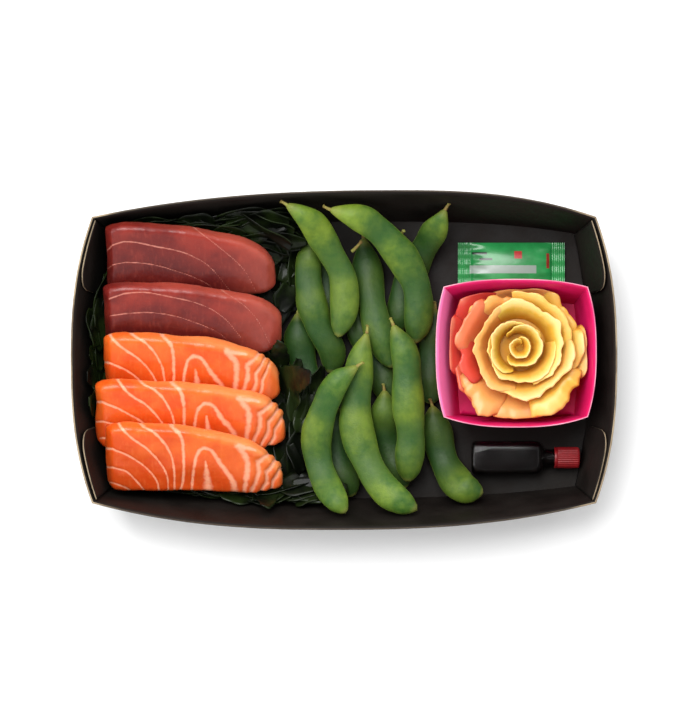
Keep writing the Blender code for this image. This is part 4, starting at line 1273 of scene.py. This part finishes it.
def bottle_ring(x, half_y, half_z, squareness):
    """A ring round the bottle's axis, from round at 2 to boxy at 4."""
    angle = 2 * math.pi * (np.arange(BOTTLE_SIDES) + 0.5) / BOTTLE_SIDES
    c, s = np.cos(angle), np.sin(angle)
    y = half_y * np.sign(c) * np.abs(c) ** (2 / squareness)
    z = half_z * np.sign(s) * np.abs(s) ** (2 / squareness)
    return np.column_stack([np.full(BOTTLE_SIDES, BOTTLE_BASE_X + x), BOTTLE_AXIS_Y + y,
                            BOTTLE_AXIS_Z + z])


def bottle_rings(inset, neck_end):
    """Rings from the middle of the base to the end of the neck."""
    hy, hz = BOTTLE_HALF[0] - inset, BOTTLE_HALF[1] - inset
    # Each station of the body: its place along, its share of the half size, and its squareness.
    stations = ((0.0, 0.0, 2.6), (0.0, 0.55, 2.6), (0.0001, 0.80, 3.0), (0.0006, 0.93, 3.6),
                (0.0016, 1.0, 4.2), (0.008, 1.0, 4.4), (0.020, 1.0, 4.4), (0.0270, 1.0, 4.2),
                (0.0290, 0.975, 3.8), (0.0302, 0.90, 3.2), (0.0310, 0.78, 2.8))
    rings = [bottle_ring(inset + x, hy * share, hz * share, square)
             for x, share, square in stations]
    neck = NECK_RADIUS - inset
    rings.append(bottle_ring(BOTTLE_BODY, neck + 0.0010, neck + 0.0006, 2.2))
    rings.append(bottle_ring(BOTTLE_BODY + 0.0007, neck, neck, 2))
    rings.append(bottle_ring(neck_end, neck, neck, 2))
    rings.append(bottle_ring(neck_end, 0.0, 0.0, 2))
    return rings


def cap_shape():
    """A cap with ribs round it, a smooth band at its mouth and a soft outer edge."""
    sides = CAP_RIBS * 6
    # Each ring: its place along, its share of the radius, and how deep the ribs are there.
    profile = ((CAP_START, 0.86, 0), (CAP_START, 0.97, 0), (CAP_START + 0.0003, 1.0, 0),
               (CAP_START + 0.0011, 1.0, 0), (CAP_START + 0.0013, 0.985, 0.6),
               (CAP_START + 0.0016, 1.0, 1), (CAP_END - 0.0010, 1.0, 1),
               (CAP_END - 0.0003, 0.97, 0.8), (CAP_END, 0.90, 0.2), (CAP_END, 0.80, 0),
               (CAP_END - 0.0002, 0.74, 0), (CAP_END - 0.0002, 0.0, 0))
    rings = []
    for x, share, rib in profile:
        ring = []
        for k in range(sides):
            angle = 2 * math.pi * k / sides
            groove = RIB_DEPTH * rib * (0.5 + 0.5 * math.cos(CAP_RIBS * angle))
            radius = max(0.0, CAP_RADIUS * share - groove)
            ring.append((BOTTLE_BASE_X + x, BOTTLE_AXIS_Y + radius * math.cos(angle),
                         BOTTLE_AXIS_Z + radius * math.sin(angle)))
        rings.append(ring)
    return skin(np.array(rings))


def make_clear():
    """Clear soft plastic, a little cloudy."""
    material, tree, shader = new_material(
        "clear_plastic", Roughness=0.18, Transmission_Weight=1.0, IOR=1.30, Alpha=1.0)
    colour, mask = cloudy(tree, (0.80, 0.79, 0.80), (0.86, 0.85, 0.86), 150.0, 0.2)
    vary_roughness(tree, shader, mask, 0.14, 0.24)
    finish(tree, shader, colour)
    return material


def make_sauce():
    """Soy sauce: nearly black with a brown cast."""
    return plain_material("soy_liquid", (0.003, 0.0022, 0.0022), (0.007, 0.0045, 0.004), 40.0,
                          0.3, Roughness=0.35, Specular_IOR_Level=0.08)


def make_cap_plastic():
    """Red moulded plastic with a fine satin surface."""
    return plain_material("red_plastic", (0.20, 0.004, 0.007), (0.28, 0.007, 0.010), 500.0, 0.25,
                          2500.0, 0.00003, Roughness=0.44, Coat_Weight=0.06)


shell_shape = skin(bottle_rings(0.0, CAP_START + 0.004))
add_piece("bottle_shell", shell_shape, [make_clear()], ["soy_bottle"], 50)
sauce_shape = skin(bottle_rings(SAUCE_INSET, CAP_START + 0.002))
add_piece("bottle_sauce", sauce_shape, [make_sauce()], ["soy_sauce"], 50)
add_piece("bottle_cap", cap_shape(), [make_cap_plastic()], ["soy_cap"], 50)

# %% [markdown]
# ## Floor, light and camera
#
# The photo is a plain product shot on white. One broad soft light stands behind the tray, so soft
# shadows fall towards the viewer's edge of the picture, and a weak one on the left gives the wet
# fish its sheen. The camera looks straight down from far away with a long lens, which is why the
# walls hardly lean outwards in the picture.

# %% Stage
CAMERA_HEIGHT = 1.300
CAMERA_X = 0.0002
IMAGE_SIZE = (689, 720)
GROUND_SCALE = 0.000445
SENSOR = 36.0

floor_shape = bmesh.new()
bmesh.ops.create_grid(floor_shape, x_segments=1, y_segments=1, size=3.0)
floor_mesh = bpy.data.meshes.new("floor")
floor_shape.to_mesh(floor_mesh)
floor_shape.free()
floor_mesh.materials.append(plain_material("studio_floor", (0.93, 0.93, 0.93),
                                           (0.95, 0.95, 0.95), 3.0, 0.3, Roughness=0.9))
floor = add_object("floor", floor_mesh)


def add_light(name, place, size, energy):
    """A square area light that faces the middle of the tray."""
    data = bpy.data.lights.new(name, "AREA")
    data.shape = "SQUARE"
    data.size = size
    data.energy = energy
    light = add_object(name, data)
    light.location = place
    light.rotation_euler = (-Vector(place)).to_track_quat("-Z", "Y").to_euler()


add_light("window", (-0.24, 0.50, 1.20), 0.85, 20.0)
add_light("side", (-0.95, -0.10, 0.75), 0.30, 2.2)


def make_world():
    """A white studio that is dim straight overhead, so wet surfaces stay deep from above."""
    world = bpy.data.worlds.new("studio")
    world.use_nodes = True
    tree = world.node_tree
    direction = add_node(tree, "ShaderNodeTexCoord").outputs["Generated"]
    strength = ramp(tree, axis_of(tree, direction, "Z"), 0.72, 0.96, 1.10, 0.14)
    tree.links.new(strength, tree.nodes["Background"].inputs["Strength"])
    tree.nodes["Background"].inputs["Color"].default_value = (1.0, 1.0, 1.0, 1.0)
    return world


bpy.context.scene.world = make_world()
bpy.context.scene.view_settings.view_transform = "Standard"

camera_data = bpy.data.cameras.new("camera")
camera_data.sensor_width = SENSOR
camera_data.lens = SENSOR * CAMERA_HEIGHT / (IMAGE_SIZE[1] * GROUND_SCALE)
camera = add_object("camera", camera_data)
camera.location = (CAMERA_X, 0.0, CAMERA_HEIGHT)
bpy.context.scene.camera = camera
